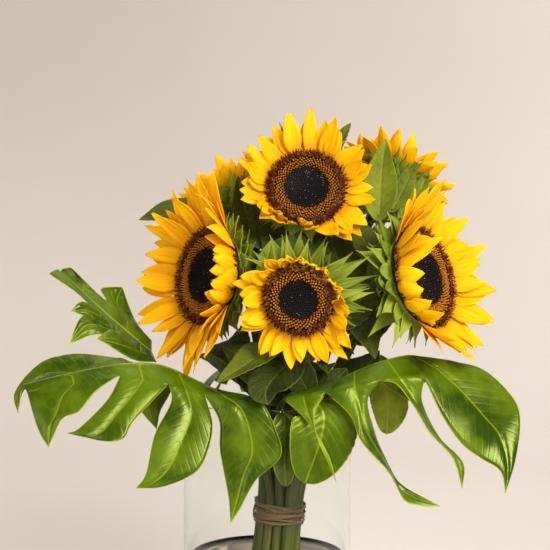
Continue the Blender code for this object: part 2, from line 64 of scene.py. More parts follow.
# How far behind the middle of its flower a stem ends
STEM_TOP = -22.4
GAP = 0.3
BUNDLE_FOOT = Vector((-2, 0, 13.3))
BUNDLE_TIE = Vector((11, 0, 150.5))
BUNDLE_AXIS = (BUNDLE_TIE - BUNDLE_FOOT).normalized()

# Thickness of the sheets
PETAL_THICKNESS = 0.35
BRACT_THICKNESS = 0.45
CUP_THICKNESS = 0.6
MONSTERA_THICKNESS = 0.55
LEAF_THICKNESS = 0.5
STEM_LEAF_THICKNESS = 0.45

# What each kind of piece adds to its number, so that no two share their random draws
BRACT_SEED = 50
DISC_SEED = 90
STEM_LEAF_SEED = 20
RAFFIA_SEED = 11

# Side veins of a blade: their spacing, and how far they run up the blade for each step outward
MONSTERA_VEINS = (9.0, 1.15)
OVATE_VEINS = (7.5, 0.95)

CAMERA_PLACE = (0.0072, -0.975, 0.363)
CAMERA_LENS = 70.63
SUN_WHITE = (1.0, 0.98, 0.95)
SOFT_WHITE = (1.0, 0.98, 0.96)
WORLD_COLOUR = (1.0, 0.97, 0.94, 1)
WORLD_STRENGTH = 0.20

# name: place of the flower, the way it faces, disc radius, then the looks of its petals round the
# flower as (degrees, length, tilt towards the front, curl towards the front), 0 at its right-hand
# side and 90 on top; bracts in the same way; how orange the petals are. That orange is partly the
# flower's own tone and partly painted shade, most on the flowers turned away from the key light
FLOWERS = {
    "top": {
        "place": (35, -20, 439), "facing": (0.0, -0.95, 0.31), "radius": 34, "count": 25,
        "petals": [(0, 31, 12, 10), (30, 31, 22, 26), (58, 36, 30, 0), (80, 45, 12, -6),
                   (110, 43, 10, -4), (140, 40, 8, 8), (175, 30, 14, 20), (205, 25, 20, 34),
                   (232, 17, 34, 60), (262, 14, 44, 70), (285, 22, 26, 34), (310, 34, 12, 14),
                   (335, 35, 10, 12)],
        "bracts": [(0, 22, -20, 10), (60, 34, 2, -10), (90, 38, 6, 0), (150, 32, -10, 0),
                   (200, 20, -20, 0), (270, 18, -30, 0)],
        "orange": 0.12,
    },
    "centre": {
        "place": (27, -107, 344), "facing": (-0.21, -0.96, -0.20), "radius": 28, "count": 24,
        "petals": [(0, 16, 34, 40), (40, 14, 40, 50), (90, 13, 38, 30), (125, 20, 30, 20),
                   (160, 27, 22, 24), (185, 29, 20, 20), (215, 33, 10, 8), (245, 29, 14, 10),
                   (275, 27, 16, 12), (300, 32, 12, 6), (325, 28, 16, 16), (345, 22, 22, 30)],
        "bracts": [(0, 36, 2, -16), (30, 42, 12, -14), (60, 36, 22, -8), (90, 34, 26, 0),
                   (120, 34, 20, 0), (160, 26, 4, 10), (200, 22, -10, 20), (250, 24, -20, 40),
                   (290, 28, -24, 60), (330, 34, -6, -20)],
        "orange": 0.02,
    },
    "left": {
        "place": (-49, -46, 362), "facing": (-0.77, -0.62, 0.14), "radius": 41, "count": 28,
        "petals": [(0, 27, 66, 62), (22, 31, 62, 56), (45, 42, 52, 30), (68, 50, 36, 6),
                   (95, 50, 26, 0), (135, 49, 24, -2), (180, 48, 25, -4), (225, 50, 24, -2),
                   (262, 52, 22, -6), (290, 47, 26, -4), (318, 40, 44, -10), (340, 32, 60, 48)],
        "bracts": [(0, 26, 20, 30), (90, 24, -4, 0), (180, 20, -10, 0), (270, 26, -6, -10)],
        "orange": 0.22,
    },
    "right": {
        "place": (131, -60, 361), "facing": (0.75, -0.61, 0.24), "radius": 42, "count": 28,
        "petals": [(0, 47, 26, -4), (45, 48, 24, -4), (75, 50, 24, 2), (100, 48, 30, 6),
                   (125, 45, 46, 0), (141, 41, 56, 14), (156, 48, 74, 24), (172, 30, 64, 62),
                   (190, 27, 62, 90), (212, 26, 60, 90), (235, 33, 44, 50), (262, 46, 30, 4),
                   (300, 49, 24, -4)],
        "bracts": [(0, 22, -12, 0), (90, 26, 0, 0), (150, 34, 4, 10), (180, 36, 0, 40),
                   (220, 38, -4, -10), (270, 24, -12, 0)],
        "orange": 0.0,
    },
    "back_right": {
        "place": (117, 62, 450), "facing": (0.45, 0.62, 0.64), "radius": 30, "count": 24,
        "petals": [(0, 34, 12, 0), (90, 33, 16, 4), (180, 35, 22, 0), (270, 33, 20, 4)],
        "bracts": [(0, 24, 0, 10), (90, 24, 6, 0), (180, 30, 14, 10), (270, 30, 6, 12)],
        "orange": 0.1,
    },
    "back_left": {
        "place": (-31, 68, 430), "facing": (-0.42, 0.66, 0.62), "radius": 28, "count": 24,
        "petals": [(0, 32, 16, 0), (90, 31, 16, 4), (180, 32, 18, 0), (270, 30, 18, 4)],
        "bracts": [(0, 22, 4, 10), (90, 22, 6, 0), (180, 24, 4, 10), (270, 24, 4, 12)],
        "orange": 0.12,
    },
}

# Monstera leaves: (first and last midrib point of a lobe, its two edges from base to tip)
LEFT_LEAF = {
    "midrib": [(-43, -60, 266), (-58, -66, 274), (-89, -72, 288), (-122, -78, 289),
               (-166, -84, 281), (-200, -88, 273)],
    "lobes": [
        (5, 3, [(-196, -92, 268), (-192, -98, 259), (-184, -106, 241), (-174, -112, 225)],
         [(-120, -86, 280), (-138, -96, 268), (-150, -106, 254), (-164, -110, 248),
          (-174, -112, 225)]),
        (3, 2, [(-120, -86, 280), (-129, -98, 261), (-149, -112, 241), (-158, -116, 237)],
         [(-81, -84, 273), (-88, -92, 266), (-107, -106, 245), (-114, -112, 232),
          (-129, -116, 230), (-158, -116, 237)]),
        (2, 1, [(-81, -84, 273), (-78, -90, 259), (-90, -102, 234), (-96, -112, 204),
                (-104, -116, 193)],
         [(-51, -80, 264), (-44, -92, 241), (-47, -100, 221), (-56, -108, 205),
          (-80, -114, 195), (-104, -116, 193)]),
        (1, 0, [(-51, -80, 264), (-39, -85, 243), (-38, -88, 219), (-31, -94, 183),
                (-29, -98, 161)],
         [(-26, -72, 264), (-4, -81, 257), (8, -85, 235), (12, -88, 214), (-8, -94, 196),
          (-21, -97, 173), (-29, -98, 161)]),
        (3, 5, [(-123, -64, 293), (-151, -62, 296), (-170, -62, 295), (-190, -66, 288),
                (-208, -78, 266), (-204, -88, 249)],
         [(-199, -86, 271), (-203, -88, 264), (-204, -88, 249)]),
        (2, 3, [(-79, -52, 278), (-82, -50, 263), (-91, -54, 246), (-93, -60, 232)],
         [(-123, -64, 293), (-119, -50, 274), (-108, -52, 248), (-93, -60, 232)]),
        (1, 2, [(-57, -44, 266), (-60, -46, 254), (-74, -52, 238)],
         [(-79, -52, 278), (-78, -48, 257), (-74, -52, 238)]),
    ],
}
UPPER_LEFT_LEAF = {
    "midrib": [(-47, -22, 263), (-75, -22, 279), (-102, -20, 295), (-123, -18, 312),
               (-144, -18, 330), (-166, -16, 350), (-184, -14, 366)],
    "lobes": [
        (2, 3, [(-96, -36, 287), (-116, -46, 290), (-145, -56, 309)],
         [(-124, -34, 306), (-133, -44, 316), (-145, -56, 309)]),
        (3, 4, [(-124, -34, 306), (-147, -48, 312), (-168, -60, 304)],
         [(-137, -32, 318), (-158, -44, 328), (-168, -60, 304)]),
        (4, 5, [(-137, -32, 318), (-150, -42, 326), (-168, -48, 332)],
         [(-153, -30, 336), (-162, -40, 339), (-168, -48, 332)]),
        (5, 6, [(-153, -30, 336), (-168, -28, 349), (-192, -24, 364)],
         [(-186, -16, 367), (-189, -20, 366), (-192, -24, 364)]),
        (4, 2, [(-145, -4, 340), (-151, 4, 350), (-133, 14, 352)],
         [(-104, -4, 304), (-120, 4, 324), (-133, 14, 352)]),
        (6, 4, [(-183, -11, 368), (-180, -9, 369), (-176, -8, 370)],
         [(-145, -4, 340), (-158, -5, 352), (-176, -8, 370)]),
    ],
}
RIGHT_LEAF = {
    "midrib": [(28, -62, 264), (58, -68, 275), (89, -68, 288), (116, -66, 295), (133, -64, 294)],
    "lobes": [
        (0, 1, [(14, -80, 260), (34, -91, 243), (50, -98, 218), (57, -102, 194)],
         [(49, -84, 266), (40, -92, 252), (41, -96, 232), (52, -100, 207), (57, -102, 194)]),
        (1, 2, [(49, -84, 266), (69, -92, 248), (77, -102, 230), (97, -112, 206), (109, -112, 183),
                (123, -110, 178), (140, -108, 177)],
         [(94, -84, 276), (83, -84, 260), (88, -86, 235), (100, -92, 208), (112, -100, 192),
          (140, -108, 177)]),
        (2, 3, [(94, -84, 276), (107, -86, 274), (119, -92, 257), (132, -98, 234), (151, -104, 214),
                (158, -106, 191)],
         [(131, -78, 278), (129, -80, 256), (145, -86, 227), (160, -96, 211), (158, -106, 191)]),
        (3, 4, [(131, -78, 278), (143, -88, 249), (158, -98, 227), (173, -106, 216),
                (188, -108, 206), (192, -110, 188)],
         [(157, -54, 290), (183, -58, 284), (202, -70, 266), (209, -84, 247), (202, -100, 214),
          (192, -110, 188)]),
        (4, 2, [(157, -54, 290), (147, -36, 278), (134, -30, 264), (126, -32, 252)],
         [(84, -50, 284), (92, -34, 278), (108, -28, 264), (126, -32, 252)]),
    ],
}
BACK_LEAF_HALF = {
    "midrib": [(0, 0, 0), (0, 22, 7), (0, 46, 10), (0, 72, 7), (0, 98, -4), (0, 124, -22)],
    "lobes": [
        (0, 1, [(20, -4, 0), (38, -14, -6), (46, -20, -14)],
         [(26, 20, 3), (46, 8, -2), (56, -6, -10), (46, -20, -14)]),
        (1, 2, [(26, 20, 3), (52, 16, -12), (68, 10, -34)],
         [(25, 47, 5), (54, 36, -8), (70, 24, -26), (68, 10, -34)]),
        (2, 3, [(25, 47, 5), (52, 46, -12), (66, 44, -36)],
         [(20, 76, 1), (48, 68, -12), (64, 58, -28), (66, 44, -36)]),
        (3, 4, [(20, 76, 1), (38, 80, -14), (48, 84, -36)],
         [(12, 104, -9), (30, 104, -18), (44, 98, -30), (48, 84, -36)]),
        (4, 5, [(12, 104, -9), (20, 112, -20), (14, 130, -38), (0, 142, -46)],
         [(0, 128, -26), (0, 135, -36), (0, 142, -46)]),
    ],
}
BACK_LEAF_PLACE = Matrix.Translation((4, 62, 274)) @ Matrix.Rotation(radians(8), 4, "Z")

# name: midrib, half width, direction the upper side faces, how pale
OVATE_LEAVES = {
    "left_top_leaf": ([(-22, 24, 392), (-50, 23, 411), (-84, 15, 419), (-116, 2, 413)],
                      20, (-0.2, -0.75, 0.6), 0.05),
    "top_small_leaf": ([(52, 12, 462), (67, 16, 487), (77, 18, 503)], 9, (-0.6, -0.7, 0.4), 0.2),
    "centre_left_leaf": ([(12, -62, 305), (-4, -78, 298), (-20, -91, 288), (-40, -100, 276)],
                         14, (-0.3, -0.7, 0.65), 0.22),
    "centre_lower_leaf": ([(30, -66, 296), (12, -80, 284), (0, -90, 269), (1, -95, 257)],
                          19, (-0.3, -0.85, 0.4), 0.0),
    "centre_right_leaf": ([(44, -52, 322), (66, -58, 330), (84, -58, 346), (92, -56, 366)],
                          14, (0.2, -0.9, 0.3), 0.1),
    "right_inner_leaf": ([(74, -32, 318), (80, -46, 322), (86, -57, 311), (92, -64, 292)],
                         14, (0.2, -0.8, 0.6), 0.1),
    "left_inner_leaf": ([(-28, -6, 300), (-34, -28, 306), (-26, -46, 296), (-20, -58, 276)],
                        18, (-0.4, -0.7, 0.6), 0.0),
    "inner_left_leaf": ([(-4, 6, 336), (-14, 8, 356), (-24, 6, 374), (-30, 0, 390)],
                        19, (-0.2, -0.95, 0.2), 0.05),
    "inner_middle_leaf": ([(66, -8, 362), (44, -18, 374), (20, -24, 382), (-8, -22, 382)],
                          20, (0.0, -0.95, 0.3), 0.05),
    "inner_right_leaf": ([(76, 0, 340), (88, 2, 362), (96, 2, 384), (98, -2, 408)],
                         22, (0.2, -0.95, 0.2), 0.1),
    "back_right_leaf": ([(82, 36, 356), (102, 56, 363), (128, 82, 350), (146, 98, 326)],
                        25, (0.3, 0.3, 0.9), 0.2),
    "back_left_leaf": ([(-12, 34, 340), (-44, 58, 352), (-74, 80, 342), (-94, 94, 318)],
                       25, (-0.3, 0.3, 0.9), 0.1),
    "back_middle_leaf": ([(30, 26, 330), (36, 60, 344), (40, 96, 336), (42, 120, 312)],
                         25, (0.0, 0.3, 0.95), 0.1),
    "front_round_leaf": ([(42, -74, 257), (48, -79, 246), (44, -83, 224), (32, -85, 191)],
                         27, (0.15, -0.97, 0.2), 0.0),
    # right_round_leaf is pale partly in its own colour and partly as painted light, standing in for
    # light shining through it from behind.
    "right_round_leaf": ([(84, -12, 288), (98, -18, 276), (107, -22, 250), (105, -26, 223)],
                         18, (0.3, -0.9, 0.3), 0.9),
    "mouth_right_leaf": ([(42, -10, 266), (48, -24, 279), (51, -40, 285), (52, -56, 279)],
                         11, (0.1, -0.5, 0.85), 0.0),
    "mouth_left_leaf": ([(-22, 4, 262), (-44, 18, 281), (-62, 32, 286), (-80, 46, 278)],
                        18, (-0.2, 0.1, 0.95), 0.1),
    "mouth_back_leaf": ([(30, 34, 272), (48, 46, 292), (66, 58, 296), (84, 70, 286)],
                        18, (0.2, 0.1, 0.95), 0.1),
    "vase_leaf": ([(14, -58, 247), (15, -61, 236), (15, -62, 210), (16, -60, 184)],
                  11, (0.0, -1.0, 0.1), 0.2),
}
ROUND_LEAVES = ("front_round_leaf", "right_round_leaf", "vase_leaf")
GLOSSY_LEAVES = ("front_round_leaf", "vase_leaf")

# Small leaves on the sunflowers' own stems: midrib, half width, facing, how pale
STEM_LEAVES = {
    "top": [
        ([(-8, -26, 345), (-2, -32, 362), (1, -34, 380), (5, -30, 395)],
         8, (-0.2, -0.9, 0.3), 0.5),
        ([(100, -4, 369), (91, -8, 387), (82, -8, 403), (75, -4, 420)],
         12, (0.3, -0.9, 0.1), 0.1),
        ([(39, -44, 257), (30, -50, 273), (23, -52, 287), (20, -46, 302)],
         13, (0.0, -0.9, 0.4), 0.0),
    ],
    "centre": [
        ([(13, -40, 265), (-4, -50, 278), (-21, -54, 292), (-38, -50, 302)],
         15, (-0.1, -0.8, 0.5), 0.1),
        ([(29, -30, 250), (44, -40, 262), (58, -44, 271), (70, -40, 282)],
         15, (0.1, -0.8, 0.5), 0.0),
        ([(73, -26, 311), (75, -30, 334), (69, -32, 355), (66, -28, 376)],
         12, (0.0, -0.9, 0.2), 0.15),
    ],
    "left": [
        ([(-4, -14, 325), (-13, -18, 351), (-22, -18, 378), (-24, -14, 403)],
         14, (0.2, -0.9, 0.2), 0.15),
        ([(30, 10, 370), (20, 8, 386), (8, 8, 402), (-6, 8, 418)],
         22, (0.1, -0.9, 0.3), 0.0),
        ([(19, -22, 254), (1, -28, 267), (-16, -30, 278), (-32, -28, 288)],
         20, (-0.1, -0.8, 0.6), 0.0),
    ],
    "right": [
        ([(57, 8, 368), (63, 6, 384), (70, 6, 400), (77, 7, 418)],
         21, (0.0, -0.9, 0.2), 0.0),
        ([(90, -12, 335), (101, -16, 359), (106, -18, 383), (110, -12, 407)],
         13, (-0.3, -0.9, 0.2), 0.2),
        ([(78, -34, 303), (91, -42, 315), (103, -44, 328), (114, -38, 341)],
         11, (-0.1, -0.8, 0.5), 0.1),
        ([(63, -20, 259), (75, -28, 273), (87, -32, 283), (99, -28, 297)],
         13, (0.1, -0.8, 0.5), 0.0),
    ],
    "back_right": [
        ([(102, 14, 412), (104, 20, 436), (106, 22, 462), (109, 18, 489)],
         15, (-0.2, -0.9, 0.2), 0.55),
        ([(114, 24, 421), (123, 28, 436), (131, 28, 453), (137, 24, 469)],
         9, (-0.1, -0.9, 0.3), 0.35),
        ([(122, 28, 412), (133, 32, 429), (143, 32, 444), (151, 28, 462)],
         8, (0.0, -0.9, 0.3), 0.4),
    ],
    "back_left": [
        ([(38, 14, 366), (42, 14, 382), (45, 14, 400), (46, 14, 420)],
         20, (0.0, -0.9, 0.2), 0.0),
        ([(-12, 16, 395), (-18, 20, 414), (-23, 20, 432), (-27, 16, 454)],
         12, (0.1, -0.9, 0.2), 0.15),
        ([(-1, 4, 387), (-14, 8, 399), (-28, 8, 408), (-43, 4, 418)],
         11, (0.0, -0.8, 0.5), 0.1),
    ],
}


# ---------------------------------------------------------------- shared helpers
def curve_point(start, end, start_pull, end_pull, t):
    """A point between two points, on a curve that leaves and arrives along the two pulls."""
    return (start * (2 * t ** 3 - 3 * t ** 2 + 1) + start_pull * (t ** 3 - 2 * t ** 2 + t)
            + end * (3 * t ** 2 - 2 * t ** 3) + end_pull * (t ** 3 - t ** 2))


def smooth_points(points, count):
    """Evenly numbered points of a smooth curve through a list of points, as an array."""
    points = [np.array(point, float) for point in points]
    spans = len(points) - 1
    result = []
    for number in range(count + 1):
        place = number / count * spans
        index = min(int(place), spans - 1)
        here, there = points[index], points[index + 1]
        before = points[index - 1] if index > 0 else here * 2 - there
        after = points[index + 2] if index + 2 <= spans else there * 2 - here
        result.append(curve_point(here, there, (there - before) / 2, (after - here) / 2,
                                  place - index))
    return np.array(result)


def lengths_along(points):
    """How far each point of a line is from the line's first point, along the line."""
    return np.concatenate([[0], np.cumsum(np.linalg.norm(np.diff(points, axis=0), axis=1))])


def spin(points, angle, first=0, second=1):
    """Points turned about one axis, in the plane of the two others."""
    turned_points = points.copy()
    c, s = cos(angle), sin(angle)
    turned_points[..., first] = points[..., first] * c - points[..., second] * s
    turned_points[..., second] = points[..., first] * s + points[..., second] * c
    return turned_points


def round_angles(steps):
    return np.arange(steps) * 2 * pi / steps


def lathe_points(profile, steps):
    """Rings of points: an outline of (radius, height) turned about Z."""
    return np.array([[(radius * cos(angle), radius * sin(angle), height)
                      for angle in round_angles(steps)] for radius, height in profile])


def grid_faces(rows, columns, closed=True):
    """Four-cornered faces between a grid's points. closed joins the last column to the first."""
    faces = []
    for row in range(rows - 1):
        for column in range(columns if closed else columns - 1):
            after = (column + 1) % columns
            faces.append((row * columns + column, row * columns + after,
                          (row + 1) * columns + after, (row + 1) * columns + column))
    return faces


def add_to_scene(name, data):
    made = bpy.data.objects.new(name, data)
    bpy.context.scene.collection.objects.link(made)
    return made


def unit(vectors):
    """Vectors along the last axis, made one long."""
    return vectors / np.maximum(np.linalg.norm(vectors, axis=-1, keepdims=True), 1e-9)


def smoothstep(low, high, value):
    t = np.clip((value - low) / (high - low), 0, 1)
    return t * t * (3 - 2 * t)


def around(table, angle):
    """The numbers of a table round a flower at one angle in degrees, blended smoothly."""
    rows = sorted(table)
    rows = rows + [(rows[0][0] + 360, *rows[0][1:])]
    angle = (angle - rows[0][0]) % 360 + rows[0][0]
    for low, high in zip(rows, rows[1:]):
        if low[0] <= angle <= high[0]:
            t = smoothstep(low[0], high[0], angle)
            return [a + (b - a) * t for a, b in zip(low[1:], high[1:])]
    return rows[0][1:]


class Mesh:
    """Grids and patches of points in millimetres, gathered into one mesh with named numbers."""

    def __init__(self, *names):
        self.names = names
        self.points = []
        self.faces = []
        self.numbers = {name: [] for name in names}
        self.count = 0

    def add(self, points, faces, **numbers):
        points = np.asarray(points, float).reshape(-1, 3)
        self.points.append(points)
        self.faces.extend(tuple(corner + self.count for corner in face) for face in faces)
        for name in self.names:
            value = np.ravel(np.asarray(numbers.get(name, 0.0), float))
            self.numbers[name].append(np.broadcast_to(value, len(points)))
        self.count += len(points)

    def grid(self, points, closed=False, **numbers):
        """A grid of points, rows by columns. closed joins the last column to the first."""
        rows, columns = points.shape[:2]
        numbers = {name: np.broadcast_to(value, (rows, columns)).ravel()
                   for name, value in numbers.items()}
        self.add(points, grid_faces(rows, columns, closed), **numbers)

    def tube(self, rings, reach, side, tint, foot_tint=None, top_reach=0.0):
        """Rings of points joined into a tube that is closed at both ends."""
        corners = tuple(range(rings.shape[1]))
        self.grid(rings, closed=True, reach=reach[:, None], side=side[None, :], tint=tint)
        self.add(rings[0], [corners[::-1]], tint=tint if foot_tint is None else foot_tint)
        self.add(rings[-1], [corners], reach=top_reach, tint=tint)

    def build(self, name, materials, weld=0.0, facing=None):
        """The mesh as a smooth object. facing is a direction that most faces should look to."""
        mesh = bpy.data.meshes.new(name)
        points = np.concatenate(self.points) * MM
        mesh.from_pydata(points, [], self.faces)
        for key in self.names:
            layer = mesh.attributes.new(key, "FLOAT", "POINT")
            layer.data.foreach_set("value", np.concatenate(self.numbers[key]).astype(np.float32))
        if weld or facing is not None:
            bm = bmesh.new()
            bm.from_mesh(mesh)
            if weld:
                bmesh.ops.remove_doubles(bm, verts=bm.verts, dist=weld * MM)
            bmesh.ops.recalc_face_normals(bm, faces=bm.faces)
            if facing is not None:
                wanted = Vector(facing)
                total = sum((face.normal.dot(wanted) * face.calc_area() for face in bm.faces), 0.0)
                if total < 0:
                    bmesh.ops.reverse_faces(bm, faces=bm.faces)
            bm.to_mesh(mesh)
            bm.free()
        mesh.shade_smooth()
        for material in materials:
            mesh.materials.append(material)
        return add_to_scene(name, mesh)


def thicken(made, thickness, under=0):
    """Give a sheet its thickness. under is the slot, counted on, of its lower side."""
    solid = made.modifiers.new("thickness", "SOLIDIFY")
    solid.thickness = thickness * MM
    solid.offset = 0
    solid.material_offset = under
    solid.material_offset_rim = under


def ride_along(made):
    """The piece rides with the model."""
    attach(made, "root")


def hand_over(made, slot, *nodes):
    """The piece stands for the CAD's nodes named."""
    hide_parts(*nodes)
    ride_along(made)


# ---------------------------------------------------------------- materials
class Shader:
    """A material with short calls for the nodes that it is made of."""

    def __init__(self, name):
        self.material = bpy.data.materials.new(name)
        self.material.use_nodes = True
        self.tree = self.material.node_tree
        self.surface = self.tree.nodes["Principled BSDF"]
        self.output = self.tree.nodes["Material Output"]

    def join(self, value, socket):
        if isinstance(value, bpy.types.NodeSocket):
            self.tree.links.new(value, socket)
        else:
            socket.default_value = value

    def node(self, kind, inputs, **settings):
        made = self.tree.nodes.new("ShaderNode" + kind)
        for key, value in settings.items():
            setattr(made, key, value)
        for key, value in inputs.items():
            self.join(value, made.inputs[key])
        return made

    def math(self, operation, first, second=0.0):
        return self.node("Math", {0: first, 1: second}, operation=operation).outputs[0]

    def number(self, name):
        return self.node("Attribute", {}, attribute_name=name).outputs["Fac"]

    def place(self):
        return self.node("TexCoord", {}).outputs["Object"]

    def noise(self, scale, detail, vector=None):
        return self.node("TexNoise", {"Vector": vector or self.place(), "Scale": scale,
                                      "Detail": detail, "Roughness": 0.55}).outputs["Fac"]

    def streaks(self, detail, side, reach, tint):
        """Noise drawn out along a piece. The numbers stretch its side, its reach and its tint."""
        parts = [self.math("MULTIPLY", self.number(name), scale)
                 for name, scale in (("side", side), ("reach", reach), ("tint", tint))]
        together = self.node("CombineXYZ", dict(enumerate(parts))).outputs[0]
        return self.noise(1.0, detail, together)

    def step(self, value, low, high, to_low=0.0, to_high=1.0):
        """A smooth step of value from low to high."""
        return self.node("MapRange", {"Value": value, "From Min": low, "From Max": high,
                                      "To Min": to_low, "To Max": to_high},
                         interpolation_type="SMOOTHSTEP").outputs[0]

    def ramp(self, value, *stops):
        made = self.node("ValToRGB", {"Fac": value})
        elements = made.color_ramp.elements
        elements[0].position, elements[-1].position = stops[0][0], stops[-1][0]
        elements[0].color, elements[-1].color = (*stops[0][1], 1), (*stops[-1][1], 1)
        for position, colour in stops[1:-1]:
            elements.new(position).color = (*colour, 1)
        return made.outputs["Color"]

    def mix(self, factor, first, second):
        made = self.node("Mix", {0: factor}, data_type="RGBA")
        for value, socket in ((first, made.inputs[6]), (second, made.inputs[7])):
            if isinstance(value, tuple):
                value = (*value, 1)
            self.join(value, socket)
        return made.outputs[2]

    def over(self, base, factor, share, colour):
        """A share of a colour laid over base, as strongly as factor says."""
        return self.mix(self.math("MULTIPLY", factor, share), base, colour)

    def bump(self, height, strength, distance):
        made = self.node("Bump", {"Height": height, "Strength": strength,
                                  "Distance": distance * MM})
        self.join(made.outputs[0], self.surface.inputs["Normal"])

    def set(self, **values):
        for key, value in values.items():
            if isinstance(value, tuple):
                value = (*value, 1)
            self.join(value, self.surface.inputs[key.replace("_", " ")])

    def blend_surface(self, share, other):
        """Let another shader take a share of the surface. The finished material comes back."""
        both = self.node("MixShader", {0: share, 1: self.surface.outputs[0], 2: other.outputs[0]})
        self.join(both.outputs[0], self.output.inputs["Surface"])
        return self.material

    def let_light_through(self, share, colour):
        """Part of the light comes through a thin sheet from behind."""
        return self.blend_surface(share, self.node("BsdfTranslucent", {"Color": colour}))


def petal_material(name, orange):
    """Yellow, orange at the base, with fine grooves along the petal."""
    s = Shader(name)
    reach = s.number("reach")
    lines = s.streaks(4.0, 7.5, 1.2, 31.0)
    ridge = s.math("COSINE", s.math("MULTIPLY", s.number("side"), 9.4))
    base = s.ramp(reach, (0.0, (0.55, 0.13, 0.001)), (0.14, (0.86, 0.36, 0.001)),
                  (0.40, (0.98, 0.60, 0.001)), (1.0, (1.0, 0.72, 0.001)))
    # The flower's orange is partly its own tone and partly painted shade, strongest on flowers
    # facing away from the key light; tint adds each petal's own tone.
    tone_and_painted_shade = s.math("ADD", s.math("MULTIPLY", s.number("tint"), 0.20), orange * 0.8)
    base = s.mix(tone_and_painted_shade, base, (0.90, 0.38, 0.001))
    groove = s.step(lines, 0.60, 0.34)
    base = s.over(base, groove, 0.50, (0.80, 0.29, 0.001))
    valley = s.step(ridge, 0.2, 1.0)
    base = s.over(base, valley, 0.18, (0.84, 0.34, 0.001))
    pale = s.step(s.noise(160.0, 2.0), 0.55, 0.75)
    base = s.over(base, pale, 0.18, (1.0, 0.78, 0.010))
    s.set(Base_Color=base, Roughness=s.step(lines, 0.3, 0.7, 0.52, 0.66), Specular_IOR_Level=0.12)
    s.bump(s.math("ADD", lines, s.math("MULTIPLY", ridge, 0.25)), 0.5, 0.5)
    return s.let_light_through(0.34, base)


def disc_material():
    """Florets: near black in the middle, orange-brown buds, dark red open ones outside."""
    s = Shader("disc_florets")
    warmth = s.number("warmth")
    tip = s.number("tip")
    tint = s.number("tint")
    deep = s.ramp(warmth, (0.0, (0.002, 0.001, 0.001)), (0.25, (0.003, 0.001, 0.001)),
                  (0.5, (0.034, 0.010, 0.001)), (0.75, (0.018, 0.003, 0.001)),
                  (1.0, (0.012, 0.002, 0.001)))
    bright = s.ramp(warmth, (0.0, (0.008, 0.006, 0.006)), (0.25, (0.016, 0.008, 0.004)),
                    (0.42, (0.40, 0.13, 0.003)), (0.62, (0.60, 0.21, 0.003)),
                    (0.78, (0.22, 0.040, 0.001)), (1.0, (0.095, 0.015, 0.003)))
    colour = s.mix(s.step(tip, 0.15, 0.95), deep, bright)
    grain = s.noise(900.0, 2.0)
    colour = s.mix(s.step(grain, 0.35, 0.75, 0.0, 0.5), colour, (0.012, 0.005, 0.004))
    speck = s.math("MULTIPLY", s.step(tint, 0.90, 0.97), s.step(tip, 0.75, 0.98))
    colour = s.over(colour, speck, 0.6, (0.34, 0.30, 0.26))
    s.set(Base_Color=colour, Roughness=s.step(grain, 0.3, 0.7, 0.45, 0.75), Specular_IOR_Level=0.2)
    s.bump(grain, 0.3, 0.3)
    return s.material


def bract_material():
    """Pale green, darker at the tip, with fine lines along it."""
    s = Shader("bract_green")
    lines = s.streaks(3.0, 5.0, 2.0, 17.0)
    base = s.ramp(s.number("reach"), (0.0, (0.19, 0.26, 0.012)), (0.5, (0.17, 0.25, 0.014)),
                  (0.85, (0.13, 0.19, 0.010)), (1.0, (0.09, 0.06, 0.015)))
    base = s.over(base, s.number("tint"), 0.65, (0.44, 0.50, 0.050))
    base = s.mix(s.step(lines, 0.55, 0.75, 0.0, 0.4), base, (0.38, 0.45, 0.09))
    rib = s.step(s.math("ABSOLUTE", s.number("side")), 0.16, 0.02)
    base = s.over(base, rib, 0.4, (0.36, 0.44, 0.15))
    s.set(Base_Color=base, Roughness=s.step(lines, 0.3, 0.7, 0.5, 0.68), Specular_IOR_Level=0.2)
    s.bump(lines, 0.5, 0.5)
    return s.let_light_through(0.22, base)


def stem_material():
    """Dark green with paler streaks and brown patches along it."""
    s = Shader("stem_green")
    streak = s.streaks(4.0, 7.0, 0.02, 23.0)
    blotch = s.noise(38.0, 3.0)
    base = s.ramp(streak, (0.28, (0.010, 0.014, 0.0005)), (0.5, (0.038, 0.046, 0.001)),
                  (0.72, (0.115, 0.12, 0.006)))
    base = s.mix(s.step(blotch, 0.52, 0.68, 0.0, 0.5), base, (0.060, 0.040, 0.004))
    base = s.over(base, s.number("tint"), 0.30, (0.020, 0.034, 0.004))
    s.set(Base_Color=base, Roughness=s.step(streak, 0.3, 0.7, 0.38, 0.6), Specular_IOR_Level=0.18)
    s.bump(streak, 0.6, 0.8)
    return s.material


def blade_veins(s, spacing, slope):
    """A point's distance from its blade's rib, and how far it lies from the nearest side vein."""
    across = s.math("ABSOLUTE", s.number("across"))
    run = s.math("SUBTRACT", s.number("along"), s.math("MULTIPLY", across, slope))
    return across, s.math("PINGPONG", s.math("DIVIDE", run, spacing), 0.5)


